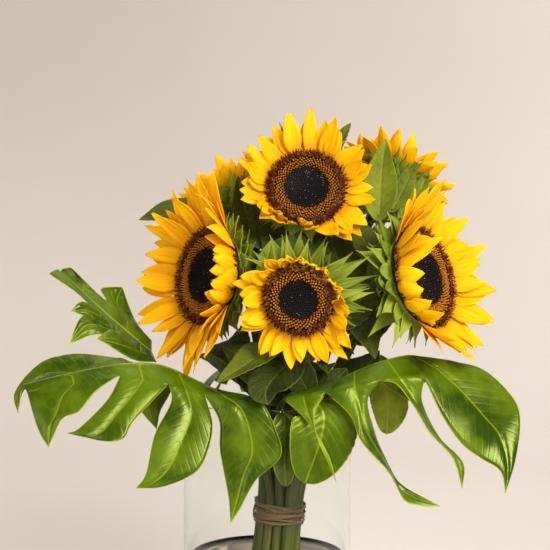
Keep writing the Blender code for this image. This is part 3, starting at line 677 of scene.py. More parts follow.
def monstera_material(name, under=False):
    """A waxy divided leaf: yellow-green veins and rim on deep green, paler underneath."""
    s = Shader(name)
    across, wave = blade_veins(s, *MONSTERA_VEINS)
    patch = s.noise(26.0, 3.0)
    fine = s.noise(330.0, 3.0)
    if under:
        dark, light, vein = (0.060, 0.095, 0.001), (0.125, 0.165, 0.002), (0.26, 0.31, 0.02)
    else:
        dark, light, vein = (0.013, 0.038, 0.0002), (0.080, 0.135, 0.0003), (0.24, 0.30, 0.004)
    # Lighter patches: partly tone that differs at random, partly painted highlight standing in for
    # the leaf's glossy patches.
    base = s.mix(s.step(patch, 0.36, 0.62), dark, light)
    base = s.over(base, s.number("tint"), 0.35, (0.11, 0.17, 0.002))
    side_vein = s.step(wave, 0.075, 0.0)
    base = s.over(base, side_vein, 0.12, vein)
    main = s.step(across, 1.1, 0.25)
    base = s.over(base, main, 0.62, vein)
    rib = s.step(s.number("mid"), 1.9, 0.7)
    base = s.over(base, rib, 0.85, (0.26, 0.33, 0.03))
    rim = s.step(s.number("edge"), 0.9, 0.2)
    base = s.over(base, rim, 0.75, (0.42, 0.47, 0.02))
    grain = s.step(fine, 0.3, 0.8, 0.0, 0.18)
    base = s.mix(grain, base, dark)
    gloss = s.step(patch, 0.35, 0.65, 0.24, 0.36)
    height = s.math("ADD", s.math("MULTIPLY", s.step(wave, 0.20, 0.0), -0.15),
                    s.math("ADD", s.math("MULTIPLY", fine, 0.10), s.math("MULTIPLY", patch, 0.8)))
    s.set(Base_Color=base, Roughness=0.5 if under else gloss, Specular_IOR_Level=0.6,
          Specular_Tint=(0.72, 0.85, 0.22))
    s.bump(height, 0.45, 0.9)
    return s.let_light_through(0.16, base)


def ovate_material(name, under=False):
    """A matt sunflower leaf with a net of pale veins. Each leaf says how pale it is."""
    s = Shader(name)
    pale = s.number("pale")
    across, wave = blade_veins(s, *OVATE_VEINS)
    patch = s.noise(45.0, 3.0)
    fine = s.noise(420.0, 4.0)
    cell = s.node("TexVoronoi", {"Vector": s.place(), "Scale": 520.0},
                  feature="DISTANCE_TO_EDGE").outputs["Distance"]
    deep = s.mix(s.step(patch, 0.3, 0.7), (0.010, 0.016, 0.0003), (0.036, 0.050, 0.0005))
    light = s.mix(s.step(patch, 0.3, 0.7), (0.22, 0.29, 0.006), (0.44, 0.50, 0.010))
    # pale is each leaf's own paleness; on right_round_leaf it is also painted light, for light
    # shining through it from behind.
    base = s.mix(pale, deep, light)
    if under:
        base = s.mix(0.35, base, (0.17, 0.21, 0.030))
    vein = s.mix(pale, (0.11, 0.15, 0.008), (0.42, 0.48, 0.14))
    base = s.mix(s.step(cell, 0.10, 0.02, 0.0, 0.16), base, vein)
    base = s.mix(s.step(wave, 0.07, 0.0, 0.0, 0.30), base, vein)
    base = s.mix(s.step(across, 0.9, 0.2, 0.0, 0.65), base, vein)
    base = s.mix(s.step(s.number("edge"), 0.8, 0.1, 0.0, 0.4), base, (0.20, 0.24, 0.03))
    height = s.math("ADD", s.math("MULTIPLY", s.step(wave, 0.25, 0.0), -0.7),
                    s.math("ADD", s.math("MULTIPLY", fine, 0.25), s.step(cell, 0.0, 0.2)))
    s.set(Base_Color=base, Roughness=s.step(fine, 0.3, 0.7, 0.46, 0.62), Specular_IOR_Level=0.2)
    s.bump(height, 0.5, 0.5)
    return s.let_light_through(0.14, base)


def raffia_material():
    """Dry straw with long fibres."""
    s = Shader("raffia_straw")
    fibre = s.streaks(4.0, 3.5, 0.25, 19.0)
    base = s.ramp(fibre, (0.25, (0.030, 0.016, 0.002)), (0.5, (0.085, 0.048, 0.008)),
                  (0.75, (0.19, 0.12, 0.028)))
    base = s.over(base, s.number("tint"), 0.35, (0.075, 0.045, 0.009))
    s.set(Base_Color=base, Roughness=s.step(fibre, 0.3, 0.7, 0.6, 0.85))
    s.bump(fibre, 0.7, 0.4)
    return s.material


def clear_material(name, tint, index, ripple, depth):
    """A clear solid that bends light. Lamps shine through it, so its shadow is light."""
    s = Shader(name)
    haze = s.noise(ripple, 2.0)
    colour = s.mix(s.step(haze, 0.3, 0.7), tint, tuple(min(1.0, part * 1.012) for part in tint))
    s.set(Base_Color=colour, Transmission_Weight=1.0, IOR=index,
          Specular_Tint=(0.15, 0.15, 0.15), Roughness=s.step(haze, 0.3, 0.7, 0.0, 0.012))
    s.bump(haze, 0.06, depth)
    shadow = s.node("LightPath", {}).outputs["Is Shadow Ray"]
    return s.blend_surface(shadow, s.node("BsdfTransparent", {"Color": (*tint, 1)}))


# ---------------------------------------------------------------- blades: petals and bracts
def blade_grid(spec):
    """Points of one petal or bract: x across it, y outward, z to the flower's front."""
    rows, columns = spec["rows"], spec["columns"]
    t = np.linspace(0, 1, rows + 1)
    u = np.linspace(-1, 1, columns + 1)
    angle = np.radians(spec["tilt"] + spec["curl"] * t ** 1.6)
    ds = spec["length"] / rows
    y = np.concatenate([[0], np.cumsum(np.cos(angle[:-1]) * ds)])
    z = np.concatenate([[0], np.cumsum(np.sin(angle[:-1]) * ds)])
    x = spec["bend"] * t ** 2 * spec["length"]
    half = spec["width"] / 2 * spec["profile"](t)
    across = half[:, None] * u[None, :]
    lift = spec["trough"] * half[:, None] * (u[None, :] ** 2 - 0.4)
    lift += (spec["groove"] * np.cos(u[None, :] * pi * 3)
             * np.sin(pi * np.clip(t * 1.05, 0, 1))[:, None])
    flutter = spec["flutter"] * np.sin(t * 9 + spec["phase"])[:, None] * np.abs(u[None, :]) ** 1.5
    lift += flutter * np.sign(u)[None, :] * t[:, None]
    turn = np.radians(spec["twist"]) * t ** 1.3
    side = across * np.cos(turn)[:, None] - lift * np.sin(turn)[:, None]
    up = across * np.sin(turn)[:, None] + lift * np.cos(turn)[:, None]
    tip_cut = spec["notch"] * np.abs(np.sin(u * pi * 1.5 + spec["phase"]))[None, :]
    slide = tip_cut * smoothstep(0.8, 1.0, t)[:, None]
    points = np.empty((rows + 1, columns + 1, 3))
    points[..., 0] = x[:, None] + side
    points[..., 1] = y[:, None] - np.sin(angle)[:, None] * up - slide * np.cos(angle)[:, None]
    points[..., 2] = z[:, None] + np.cos(angle)[:, None] * up - slide * np.sin(angle)[:, None]
    return points, t, u


def petal_profile(t):
    """Width along a petal: narrow at the base, widest past the middle, a soft point."""
    body = 0.42 + 0.58 * smoothstep(0.0, 0.42, t)
    close = np.cos(pi / 2 * np.clip((t - 0.40) / 0.60, 0, 1)) ** 0.8
    return body * (close * 0.97 + 0.03)


def bract_profile(t):
    """Width along a bract: broad at the base and drawn out to a fine point."""
    body = 0.75 + 0.25 * smoothstep(0.0, 0.22, t)
    return body * np.clip(1 - smoothstep(0.18, 1.0, t) ** 0.8, 0, 1) ** 0.9 + 0.025


def flower_axes(place, facing):
    """The flower's own axes: Z along its facing, Y as near to up as it can be."""
    forward = Vector(facing).normalized()
    side = Vector((0, 0, 1)).cross(forward).normalized()
    up = forward.cross(side)
    turn = Matrix((side, up, forward)).transposed().to_4x4()
    return Matrix.Translation(place) @ turn


def to_world(axes, points):
    turn = np.array(axes.to_3x3())
    return points @ turn.T + np.array(axes.translation)


def add_blade(mesh, axes, spec, turn, out, depth, tint):
    """One blade at its place round the flower."""
    points, t, u = blade_grid(spec)
    points = spin(points + (0, out, depth), turn - pi / 2)
    mesh.grid(to_world(axes, points), reach=t[:, None], side=u[None, :], tint=tint)


def finish_blades(mesh, axes, node, thickness, slot, material):
    made = mesh.build(node + "_blades", [material], facing=axes.to_3x3() @ Vector((0, 0, 1)))
    thicken(made, thickness)
    hand_over(made, slot, node)


# Rings of petals: share of the flower's count, offset, depth, place out from the middle, length
PETAL_RINGS = ((1.0, 0.0, -3.2, 0.90, 1.0), (0.75, 0.5, -2.2, 0.93, 0.93),
               (0.3, 0.25, -1.4, 0.95, 0.80))
# Rings of bracts: their number, depth, place out from the middle, length, width
BRACT_RINGS = ((17, -6.0, 0.86, 1.0, 0.36), (15, -8.5, 0.84, 0.95, 0.42),
               (12, -11.5, 0.76, 1.0, 0.48), (9, -15.5, 0.58, 1.15, 0.52))
WIDEST_PETAL = 17.0


def make_petals(name, flower, seed, material):
    rng = np.random.default_rng(seed)
    axes = flower_axes(flower["place"], flower["facing"])
    radius = flower["radius"]
    count = flower["count"]
    mesh = Mesh("reach", "side", "tint")
    for ring, (share, offset, depth, out, longer) in enumerate(PETAL_RINGS):
        number = int(count * share)
        for index in range(number):
            turn = 360 * (index + offset + rng.uniform(-0.30, 0.30)) / number
            length, tilt, curl = around(flower["petals"], turn)
            length *= longer * rng.uniform(0.86, 1.20)
            short = smoothstep(30, 14, length)
            width = radius * 2 * pi / count * rng.uniform(1.50, 1.95) * (1 - 0.15 * short)
            spec = {
                "rows": 16, "columns": 8, "length": length, "width": min(width, WIDEST_PETAL),
                "tilt": tilt + rng.normal(0, 8) + ring * 6,
                "curl": curl + rng.normal(0, 20) - ring * 4,
                "bend": rng.normal(0, 0.11), "twist": rng.normal(0, 13 + 22 * short),
                "trough": rng.uniform(0.05, 0.34) + 0.25 * short, "groove": rng.uniform(0.15, 0.34),
                "flutter": rng.uniform(0.1, 1.3) + 0.8 * short, "phase": rng.uniform(0, 6),
                "notch": rng.choice([0.0, 0.6, 1.6]), "profile": petal_profile,
            }
            add_blade(mesh, axes, spec, radians(turn), radius * out, depth + rng.uniform(-0.5, 0.5),
                      rng.uniform(0, 1))
    finish_blades(mesh, axes, name + "_sunflower_petals", PETAL_THICKNESS, "petal", material)


def make_bracts(name, flower, seed, material):
    rng = np.random.default_rng(seed + BRACT_SEED)
    axes = flower_axes(flower["place"], flower["facing"])
    radius = flower["radius"]
    mesh = Mesh("reach", "side", "tint")
    for ring, (number, depth, out, longer, broad) in enumerate(BRACT_RINGS):
        for index in range(number):
            turn = 360 * (index + 0.5 * ring + rng.uniform(-0.25, 0.25)) / number
            length, tilt, curl = around(flower["bracts"], turn)
            spec = {
                "rows": 14, "columns": 6, "length": length * longer * rng.uniform(0.8, 1.15),
                "width": radius * broad * rng.uniform(0.85, 1.15),
                "tilt": tilt + rng.normal(0, 6) - ring * 3, "curl": curl + rng.normal(0, 22),
                "bend": rng.normal(0, 0.09), "twist": rng.normal(0, 16),
                "trough": rng.uniform(0.2, 0.5), "groove": 0.12,
                "flutter": rng.uniform(0.2, 0.7), "phase": rng.uniform(0, 6), "notch": 0.0,
                "profile": bract_profile,
            }
            add_blade(mesh, axes, spec, radians(turn), radius * out, depth + rng.uniform(-0.4, 0.4),
                      rng.uniform(0, 1))
    finish_blades(mesh, axes, name + "_sunflower_bracts", BRACT_THICKNESS, "bract", material)


def make_receptacle(name, flower, seed, material):
    """The cup behind the petals, with a few low ribs and lumps."""
    axes = flower_axes(flower["place"], flower["facing"])
    radius = flower["radius"]
    profile = smooth_points([(radius * 0.5, -3.4), (radius * 0.88, -3.2), (radius * 0.93, -6.0),
                             (radius * 0.84, -10.5), (radius * 0.58, -15.0),
                             (radius * 0.27, -19.0), (5.2, STEM_TOP), (4.9, -24.5)], 40)
    angles = round_angles(72)
    ribs = 1 + 0.020 * np.cos(angles * 17 + seed) + 0.012 * np.cos(angles * 5 + seed * 2)
    fade = smoothstep(-24, -12, profile[:, 1])[:, None]
    wide = profile[:, 0][:, None] * (1 + (ribs[None, :] - 1) * fade)
    points = np.stack([wide * np.cos(angles), wide * np.sin(angles),
                       np.broadcast_to(profile[:, 1][:, None], wide.shape)], axis=-1)
    mesh = Mesh("reach", "side", "tint")
    t = np.linspace(0.4, 0, len(profile))
    mesh.grid(to_world(axes, points), closed=True, reach=t[:, None],
              side=np.sin(angles * 8)[None, :], tint=0.3)
    made = mesh.build(name + "_sunflower_receptacle_cup", [material])
    thicken(made, CUP_THICKNESS)
    hand_over(made, "bract", name + "_sunflower_receptacle")


# ---------------------------------------------------------------- the disc and its florets
def turned(profile, sides, lobes=0.0):
    """A small turned shape: list of (radius, height, tip number). lobes makes it a star."""
    star = 1 + lobes * np.where(np.arange(sides) % 2 == 0, 1, -1)
    points = [(radius * spread * cos(angle), radius * spread * sin(angle), height)
              for radius, height, _ in profile for angle, spread in zip(round_angles(sides), star)]
    tips = np.repeat([tip for _, _, tip in profile], sides)
    last = (len(profile) - 1) * sides
    faces = grid_faces(len(profile), sides)
    faces += [tuple(range(sides))[::-1], tuple(range(last, last + sides))]
    return np.array(points), faces, tips


def join_shapes(*shapes):
    points, faces, tips = [], [], []
    count = 0
    for shape_points, shape_faces, shape_tips in shapes:
        points.append(shape_points)
        tips.append(shape_tips)
        faces.extend(tuple(corner + count for corner in face) for face in shape_faces)
        count += len(shape_points)
    return np.concatenate(points), faces, np.concatenate(tips)


def curled_style(lean, height):
    """One of the two branches of an open floret's style, curled outward."""
    points = []
    tips = []
    for step in range(5):
        t = step / 4
        thick = 0.24 * (1 - 0.55 * t)
        centre = np.array([lean * (0.25 + 1.0 * t ** 1.5), 0, height + 1.5 * sin(t * 2.3)])
        for angle in np.arange(4) * pi / 2:
            points.append(centre + np.array([cos(angle) * thick, sin(angle) * thick, 0]))
            tips.append(0.55 + 0.45 * t)
    return np.array(points), grid_faces(5, 4) + [(3, 2, 1, 0), (16, 17, 18, 19)], np.array(tips)


CLOSED_BUD = turned([(0.62, -1.0, 0), (0.72, 0.2, 0.2), (0.60, 0.9, 0.55), (0.24, 1.35, 1.0)], 5)
OPENING_BUD = turned([(0.48, -1.0, 0), (0.58, 0.6, 0.15), (0.72, 1.5, 0.6), (0.50, 2.2, 0.9),
                      (0.16, 2.6, 1.0)], 5)
OPEN_FLORET = join_shapes(
    turned([(0.42, -1.0, 0), (0.44, 1.4, 0.1), (0.60, 2.2, 0.4), (1.02, 2.75, 0.8),
            (0.62, 2.6, 0.3)], 10, lobes=0.22),
    turned([(0.26, 2.2, 0.2), (0.30, 3.4, 0.3), (0.20, 3.9, 0.5)], 5),
    curled_style(0.85, 3.7), curled_style(-0.85, 3.7))
FLORET_SPACING = 1.30
GOLDEN_ANGLE = pi * (3 - sqrt(5))


def disc_height(share):
    """Height of the disc's face at a share of its radius: a hollow, then a raised ring."""
    return np.interp(share, [0, 0.3, 0.62, 0.86, 1.0], [1.0, 1.5, 3.4, 3.6, 1.2])


def make_disc(name, flower, seed, material):
    rng = np.random.default_rng(seed + DISC_SEED)
    axes = flower_axes(flower["place"], flower["facing"])
    radius = flower["radius"]
    mesh = Mesh("warmth", "tip", "tint")
    shares = np.array([0.0001, 0.15, 0.3, 0.45, 0.62, 0.75, 0.86, 0.94, 1.0])
    rings = [(share * radius, disc_height(share) - 0.4) for share in shares]
    rings += [(radius * 0.98, -1.4), (radius * 0.85, -2.2), (0.001, -2.2)]
    mesh.grid(to_world(axes, lathe_points(rings, 60)), closed=True, warmth=0.1, tip=0.0, tint=0.2)
    total = int((radius / FLORET_SPACING) ** 2 * 1.25)
    for number in range(total):
        share = sqrt((number + 0.5) / total) * 0.99
        size = radius * sqrt(pi / total) * 0.62
        if share < 0.60:
            shape, warmth = CLOSED_BUD, 0.28 * smoothstep(0.40, 0.60, share)
            size *= 0.92
        elif share < 0.83:
            shape, warmth = OPENING_BUD, 0.38 + 0.30 * smoothstep(0.60, 0.80, share)
        else:
            shape, warmth = OPEN_FLORET, 0.74 + 0.26 * smoothstep(0.83, 1.0, share)
            if rng.uniform() < 0.22:
                warmth = 0.6
        points, faces, tips = shape
        lean = radians(-12 + 46 * smoothstep(0.66, 1.0, share) + rng.normal(0, 6))
        own_turn = rng.uniform(0, 2 * pi)
        stretch = rng.uniform(0.85, 1.18)
        points = spin(points * size * np.array([1, 1, stretch]), own_turn)
        points = spin(points, -lean, 0, 2)
        points = spin(points + (share * radius, 0, disc_height(share)), number * GOLDEN_ANGLE)
        mesh.add(to_world(axes, points), faces, warmth=warmth, tip=tips, tint=rng.uniform(0, 1))
    made = mesh.build(name + "_sunflower_disc_florets", [material])
    hand_over(made, "disc", name + "_sunflower_disc")


# ---------------------------------------------------------------- stems
def hermite(start, end, start_pull, end_pull, steps):
    return [curve_point(start, end, start_pull, end_pull, step / steps)
            for step in range(steps + 1)]


def ring_angles(order, radii):
    """Angles at which stems of these radii stand side by side in the ring."""
    angles = {}
    angle = FIRST_STEM_ANGLE
    needed = []
    for index, name in enumerate(order):
        following = order[(index + 1) % len(order)]
        needed.append(2 * asin((radii[name] + radii[following] + GAP) / 2 / RING_RADIUS))
    spare = (2 * pi - sum(needed)) / len(order)
    for name, step in zip(order, needed):
        angles[name] = angle
        angle += step + spare
    return angles


def stem_routes():
    """Centre line and radii of every stem, on the same routes as the CAD's."""
    bases = {"left": LEFT_LEAF["midrib"], "upper_left": UPPER_LEFT_LEAF["midrib"],
             "right": RIGHT_LEAF["midrib"]}
    heads = {}
    for name, flower in FLOWERS.items():
        axes = flower_axes(flower["place"], flower["facing"])
        heads[name + "_sunflower_stem"] = (axes @ Vector((0, 0, STEM_TOP)),
                                           axes.to_3x3() @ Vector((0, 0, 90)))
    for name, midrib in bases.items():
        first, second = Vector(midrib[0]), Vector(midrib[1])
        ahead = (second - first).normalized()
        heads[name + "_monstera_stem"] = (first - ahead * 3, ahead * 70)
    heads["back_monstera_stem"] = (BACK_LEAF_PLACE.translation - Vector((0, 3, 1)),
                                   Vector((0, 70, 20)))
    order = ["right_monstera_stem", "centre_sunflower_stem", "right_sunflower_stem",
             "back_right_sunflower_stem", "back_monstera_stem", "back_left_sunflower_stem",
             "left_sunflower_stem", "upper_left_monstera_stem", "left_monstera_stem"]
    radii = {name: STEM_RADIUS if "sunflower" in name else PETIOLE_RADIUS for name in heads}
    angles = ring_angles(order, radii)
    routes = {}
    for name, (head, pull) in heads.items():
        ring_place = Vector((0, 0, 0))
        if name in angles:
            ring_place = Vector((cos(angles[name]), sin(angles[name]), 0)) * RING_RADIUS
        foot = BUNDLE_FOOT + ring_place * FOOT_SPREAD
        tie = BUNDLE_TIE + ring_place
        lower = hermite(foot, tie, BUNDLE_AXIS * 100, BUNDLE_AXIS * 120, STEPS_BELOW_TIE)
        length = (head - tie).length
        neck = head - pull.normalized() * NECK_LENGTH
        upper = hermite(tie, neck, BUNDLE_AXIS * length * 0.9, pull, STEPS_ABOVE_TIE)
        end = NECK_RADIUS if "sunflower" in name else PETIOLE_END
        points = lower[:-1] + upper + [head]
        widths = [radii[name]] * STEPS_BELOW_TIE
        widths += [radii[name] + (end - radii[name]) * step / STEPS_ABOVE_TIE
                   for step in range(STEPS_ABOVE_TIE + 1)] + [end]
        routes[name] = (np.array([list(point) for point in points]), np.array(widths))
    return routes


def sweep(points, widths, sides, section):
    """Rings of points round a centre line. section(angle, along) is the outline's radius."""
    ahead = unit(np.gradient(points, axis=0))
    side = unit(np.cross(ahead[0], [0.3, 1.0, 0.2]))
    rings = []
    along = lengths_along(points)
    angles = round_angles(sides)
    for place, forward, wide, length in zip(points, ahead, widths, along):
        side = side - forward * np.dot(side, forward)
        side = side / np.linalg.norm(side)
        up = np.cross(forward, side)
        outline = wide * section(angles, length)
        rings.append(place + outline[:, None] * (np.cos(angles)[:, None] * side
                                                 + np.sin(angles)[:, None] * up))
    return np.array(rings), along, angles


def make_stem(name, route, seed, material):
    points, widths = route
    ribs, depth = (11, 0.035) if "sunflower" in name else (7, 0.02)

    def section(angles, length):
        low = 0.012 * np.sin(angles * 3 + length * 0.03 + seed)
        return 1 - depth + depth * np.cos(angles * ribs + seed + 0.15 * sin(length * 0.02)) + low

    rings, along, angles = sweep(points, widths, 44, section)
    mesh = Mesh("reach", "side", "tint")
    mesh.tube(rings, along, np.cos(angles), (seed * 0.37) % 1.0, foot_tint=0.9, top_reach=along[-1])
    hand_over(mesh.build(name + "_ribbed", [material], weld=0.001), "stem", name)


# ---------------------------------------------------------------- leaves
def lobe_rows(rib, lobe, per_span, slit_rows, long_rows):
    """Rows of points from a stretch of the midrib to a lobe's tip."""
    first, last, first_edge, last_edge = lobe
    low, high = sorted((first * per_span, last * per_span))
    root = rib[low:high + 1]
    if first > last:
        root = root[::-1]
    steps = np.linspace(0, 1, slit_rows, endpoint=False)[:, None]
    first_side = root[0] + (np.array(first_edge[0]) - root[0]) * steps
    last_side = root[-1] + (np.array(last_edge[0]) - root[-1]) * steps
    first_side = np.concatenate([first_side, smooth_points(first_edge, long_rows)])
    last_side = np.concatenate([last_side, smooth_points(last_edge, long_rows)])
    u = np.linspace(0, 1, len(root))
    share = u[None, :, None]
    grid = first_side[:, None, :] * (1 - share) + last_side[:, None, :] * share
    grid[0] = root
    return grid, u


def make_divided_leaf(name, leaf, facing, place, materials, seed):
    """A monstera leaf: lobes that rise between sunken veins, with a rim of its own colour."""
    rng = np.random.default_rng(seed)
    per_span, slit_rows, long_rows = 14, 6, 44
    spans = len(leaf["midrib"]) - 1
    rib = smooth_points(leaf["midrib"], spans * per_span)
    mesh = Mesh("across", "along", "edge", "mid", "tint")
    facing = np.array(Vector(facing).normalized())
    for number, lobe in enumerate(leaf["lobes"]):
        grid, u = lobe_rows(rib, lobe, per_span, slit_rows, long_rows)
        rows, columns = grid.shape[:2]
        wide = np.linalg.norm(grid[:, -1] - grid[:, 0], axis=1)
        centre = grid[:, columns // 2]
        along = lengths_along(centre)
        down = np.gradient(grid, axis=0)
        over = np.gradient(grid, axis=1)
        normal = unit(np.cross(over, down))
        if np.sum(normal @ facing) < 0:
            normal = -normal
        centre_u = 0.5 + rng.uniform(-0.04, 0.04)
        across = (u[None, :] - centre_u) * wide[:, None]
        edge_sides = np.minimum(u, 1 - u)[None, :] * wide[:, None]
        free = smoothstep(slit_rows - 1, slit_rows + 1.5, np.arange(rows))[:, None]
        edge = edge_sides + (1 - free) * 20
        broad = smoothstep(0, 14, wide)[:, None]
        fade = smoothstep(0, 9, along)[:, None] * broad
        hump = np.abs(np.sin(pi * np.clip((u - centre_u) / (1 - centre_u), -1, 1)))[None, :]
        lift = 1.0 * hump * fade
        lift -= 0.7 * np.exp(-(across / 1.8) ** 2) * smoothstep(2, 12, along)[:, None] * fade
        spacing, slope = MONSTERA_VEINS
        slant = (along[:, None] - np.abs(across) * slope) / spacing
        lift += 0.10 * np.cos(2 * pi * slant) * fade * smoothstep(0, 3, np.abs(across))
        sway = np.sin(along / 17 + number * 1.7 + seed)[:, None] * np.sign(u - centre_u)[None, :]
        lift += 1.3 * sway * (np.abs(u - centre_u) * 2)[None, :] ** 2 * free * broad
        keep = smoothstep(0.0, 1.0, np.arange(rows) / slit_rows)[:, None]
        edge_keep = np.where(free > 0.5, 1.0, smoothstep(0, 0.12, np.minimum(u, 1 - u))[None, :])
        grid = grid + normal * (lift * keep * edge_keep)[..., None]
        mid = np.broadcast_to(along[:, None], (rows, columns))
        if place is not None:
            turn = np.array(place.to_3x3())
            grid = grid @ turn.T + np.array(place.translation)
        mesh.grid(grid, across=across, along=along[:, None] + number * 3.1, edge=edge, mid=mid,
                  tint=rng.uniform(0, 0.6))
    made = mesh.build(name + "_blade", materials, weld=0.02, facing=facing)
    thicken(made, MONSTERA_THICKNESS, under=1)
    hand_over(made, "monstera", name)


def both_halves(half):
    lobes = list(half["lobes"])
    for first, last, first_edge, last_edge in half["lobes"]:
        mirrored = [[(-x, y, z) for x, y, z in edge] for edge in (first_edge, last_edge)]
        lobes.append((first, last, *mirrored))
    return {"midrib": half["midrib"], "lobes": lobes}


def add_ovate_blade(mesh, midrib, half_width, facing, pale, seed, rounded=False):
    """A blade with a waved and finely toothed edge and sunken side veins."""
    rows, columns = 56, 24
    line = smooth_points(midrib, rows)
    ahead = unit(np.gradient(line, axis=0))
    side = unit(np.cross(ahead, np.array(Vector(facing).normalized())))
    up = unit(np.cross(side, ahead))
    t = np.linspace(0, 1, rows + 1)
    if rounded:
        width = np.sqrt(np.clip(np.sin(pi * t ** 1.2), 0, 1)) * 0.98 + 0.06 * (1 - t)
    else:
        width = np.clip(np.sin(pi * t ** 0.8), 0, 1) ** 0.85 + 0.08 * (1 - t)
    along = lengths_along(line)
    teeth = 1 + 0.035 * np.abs(np.sin(along * 0.55 + seed)) * np.sin(pi * t)
    half = half_width * width * teeth
    u = np.linspace(-1, 1, columns + 1)
    across = half[:, None] * u[None, :]
    lift = half_width * width[:, None] * 0.22 * np.abs(u[None, :]) ** 1.3
    body = smoothstep(0, 0.12, t)[:, None] * smoothstep(1, 0.8, t)[:, None]
    spacing, slope = OVATE_VEINS
    slant = (along[:, None] - np.abs(across) * slope) / spacing
    lift += 0.30 * np.cos(2 * pi * slant) * body * smoothstep(0, 2.5, np.abs(across))
    wave = np.sin(along[:, None] / 6.5 + seed + 1.5 * np.sign(u)[None, :])
    lift += 1.1 * wave * np.abs(u[None, :]) ** 2 * body
    lift -= 0.5 * np.exp(-(across / 1.4) ** 2) * body
    grid = line[:, None] + side[:, None] * across[..., None] + up[:, None] * lift[..., None]
    edge = (1 - np.abs(u))[None, :] * half[:, None]
    mesh.grid(grid, across=across, along=along[:, None], edge=edge, mid=20.0, pale=pale,
              tint=(seed * 0.37) % 1.0)
    return line


def add_stalk(mesh, route, line):
    """A stalk from the nearest place on a stem to a blade's base."""
    base = line[0]
    points = route[0]
    distances = np.linalg.norm(points - base, axis=1) + np.maximum(0, points[:, 2] - base[2]) * 2
    target = points[int(np.argmin(distances))]
    reach = max(float(np.linalg.norm(base - target)), 1.0)
    ahead = Vector(line[4] - line[0]).normalized()
    path = hermite(Vector(target), Vector(line[4]), Vector((0, 0, 1)) * reach * 0.5,
                   ahead * reach * 0.8, 14)
    path = np.array([list(point) for point in path])
    rings, length, angles = sweep(path, np.linspace(1.9, 0.9, len(path)), 12,
                                  lambda angle, along: 1 + 0.05 * np.cos(angle * 5))
    mesh.tube(rings, length, np.cos(angles), 0.4)


def make_ovate_leaf(name, spec, routes, materials, stalk_material, seed):
    midrib, half_width, facing, pale = spec
    mesh = Mesh("across", "along", "edge", "mid", "pale", "tint")
    line = add_ovate_blade(mesh, midrib, half_width, facing, pale, seed, name in ROUND_LEAVES)
    made = mesh.build(name + "_blade", materials, facing=facing)
    thicken(made, LEAF_THICKNESS, under=1)
    hand_over(made, "leaf", name)

    nearest = min(routes, key=lambda key: np.linalg.norm(routes[key][0] - line[0], axis=1).min())
    stalk = Mesh("reach", "side", "tint")
    add_stalk(stalk, routes[nearest], line)
    ride_along(stalk.build(name + "_stalk", [stalk_material], weld=0.001))


def make_stem_leaves(name, leaves, route, materials, stalk_material, seed):
    """The small leaves on one sunflower's stem, and their stalks."""
    blades = Mesh("across", "along", "edge", "pale")
    stalks = Mesh("reach", "side", "tint")
    for number, (midrib, half_width, facing, pale) in enumerate(leaves):
        line = add_ovate_blade(blades, midrib, half_width, facing, pale, seed * 3 + number)
        add_stalk(stalks, route, line)
    made = blades.build(name + "_sunflower_stem_leaves", materials, facing=(0, -0.9, 0.3))
    thicken(made, STEM_LEAF_THICKNESS, under=1)
    held = stalks.build(name + "_sunflower_stem_stalks", [stalk_material], weld=0.001)
    ride_along(made)
    ride_along(held)


# ---------------------------------------------------------------- raffia, glass and water
RAFFIA_STEPS = 130
RAFFIA_TURNS = 1.04
RAFFIA_HEIGHTS = (-8.0, -6.2, -4.6, -3.0, -1.5, 0.8, 2.6, 4.4, 6.2, 7.8)


def make_raffia(material):
    """Two bands of flat straws wound round the stems."""
    rng = np.random.default_rng(RAFFIA_SEED)
    mesh = Mesh("reach", "side", "tint")
    bottom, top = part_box("raffia_tie")
    outer = (top.y - bottom.y) / 2 / MM
    side_axis = Vector((0, 1, 0)).cross(BUNDLE_AXIS).normalized()
    front = BUNDLE_AXIS.cross(side_axis)
    corners = round_angles(10)
    for number, height in enumerate(RAFFIA_HEIGHTS):
        start = rng.uniform(0, 2 * pi)
        wobble = rng.uniform(0, 6, 3)
        layer = rng.uniform(0.0, 1.2)
        wide = rng.uniform(1.6, 2.5)
        slope = rng.uniform(-1.6, 1.6)
        rings = []
        reach = []
        for step in range(RAFFIA_STEPS + 1):
            turn = step / RAFFIA_STEPS * 2 * pi * RAFFIA_TURNS
            angle = start + turn
            away = outer - 1.7 + layer
            away += 0.35 * sin(angle * 3 + wobble[0]) - 0.5 * sin(angle * 9 + 1.0) ** 2
            rise = height + slope * (turn / (2 * pi) - 0.5)
            rise += 0.6 * sin(angle * 2 + wobble[1]) + 0.3 * sin(angle * 5 + wobble[2])
            out = side_axis * cos(angle) + front * sin(angle)
            centre = BUNDLE_TIE + BUNDLE_AXIS * rise + out * away
            twist = 0.35 * sin(angle * 2 + wobble[1]) + (0.5 if number % 3 == 0 else 0.0)
            up = (BUNDLE_AXIS * cos(twist) + out * sin(twist)) * wide / 2
            thick = (out * cos(twist) - BUNDLE_AXIS * sin(twist)) * 0.30
            rings.append([list(centre + up * cos(a) + thick * sin(a)) for a in corners])
            reach.append(turn * away)
        mesh.tube(np.array(rings), np.array(reach), np.cos(corners), rng.uniform(0, 1))
    hand_over(mesh.build("raffia_tie_straws", [material], weld=0.001), "raffia", "raffia_tie")


def lathe_piece(name, profile, steps, material):
    mesh = Mesh()
    mesh.grid(lathe_points(profile, steps), closed=True)
    return mesh.build(name, [material], weld=0.0005)


def arc(centre, radius, start, end, steps):
    angles = [radians(start + (end - start) * step / steps) for step in range(steps + 1)]
    return [(centre[0] + radius * cos(angle), centre[1] + radius * sin(angle)) for angle in angles]


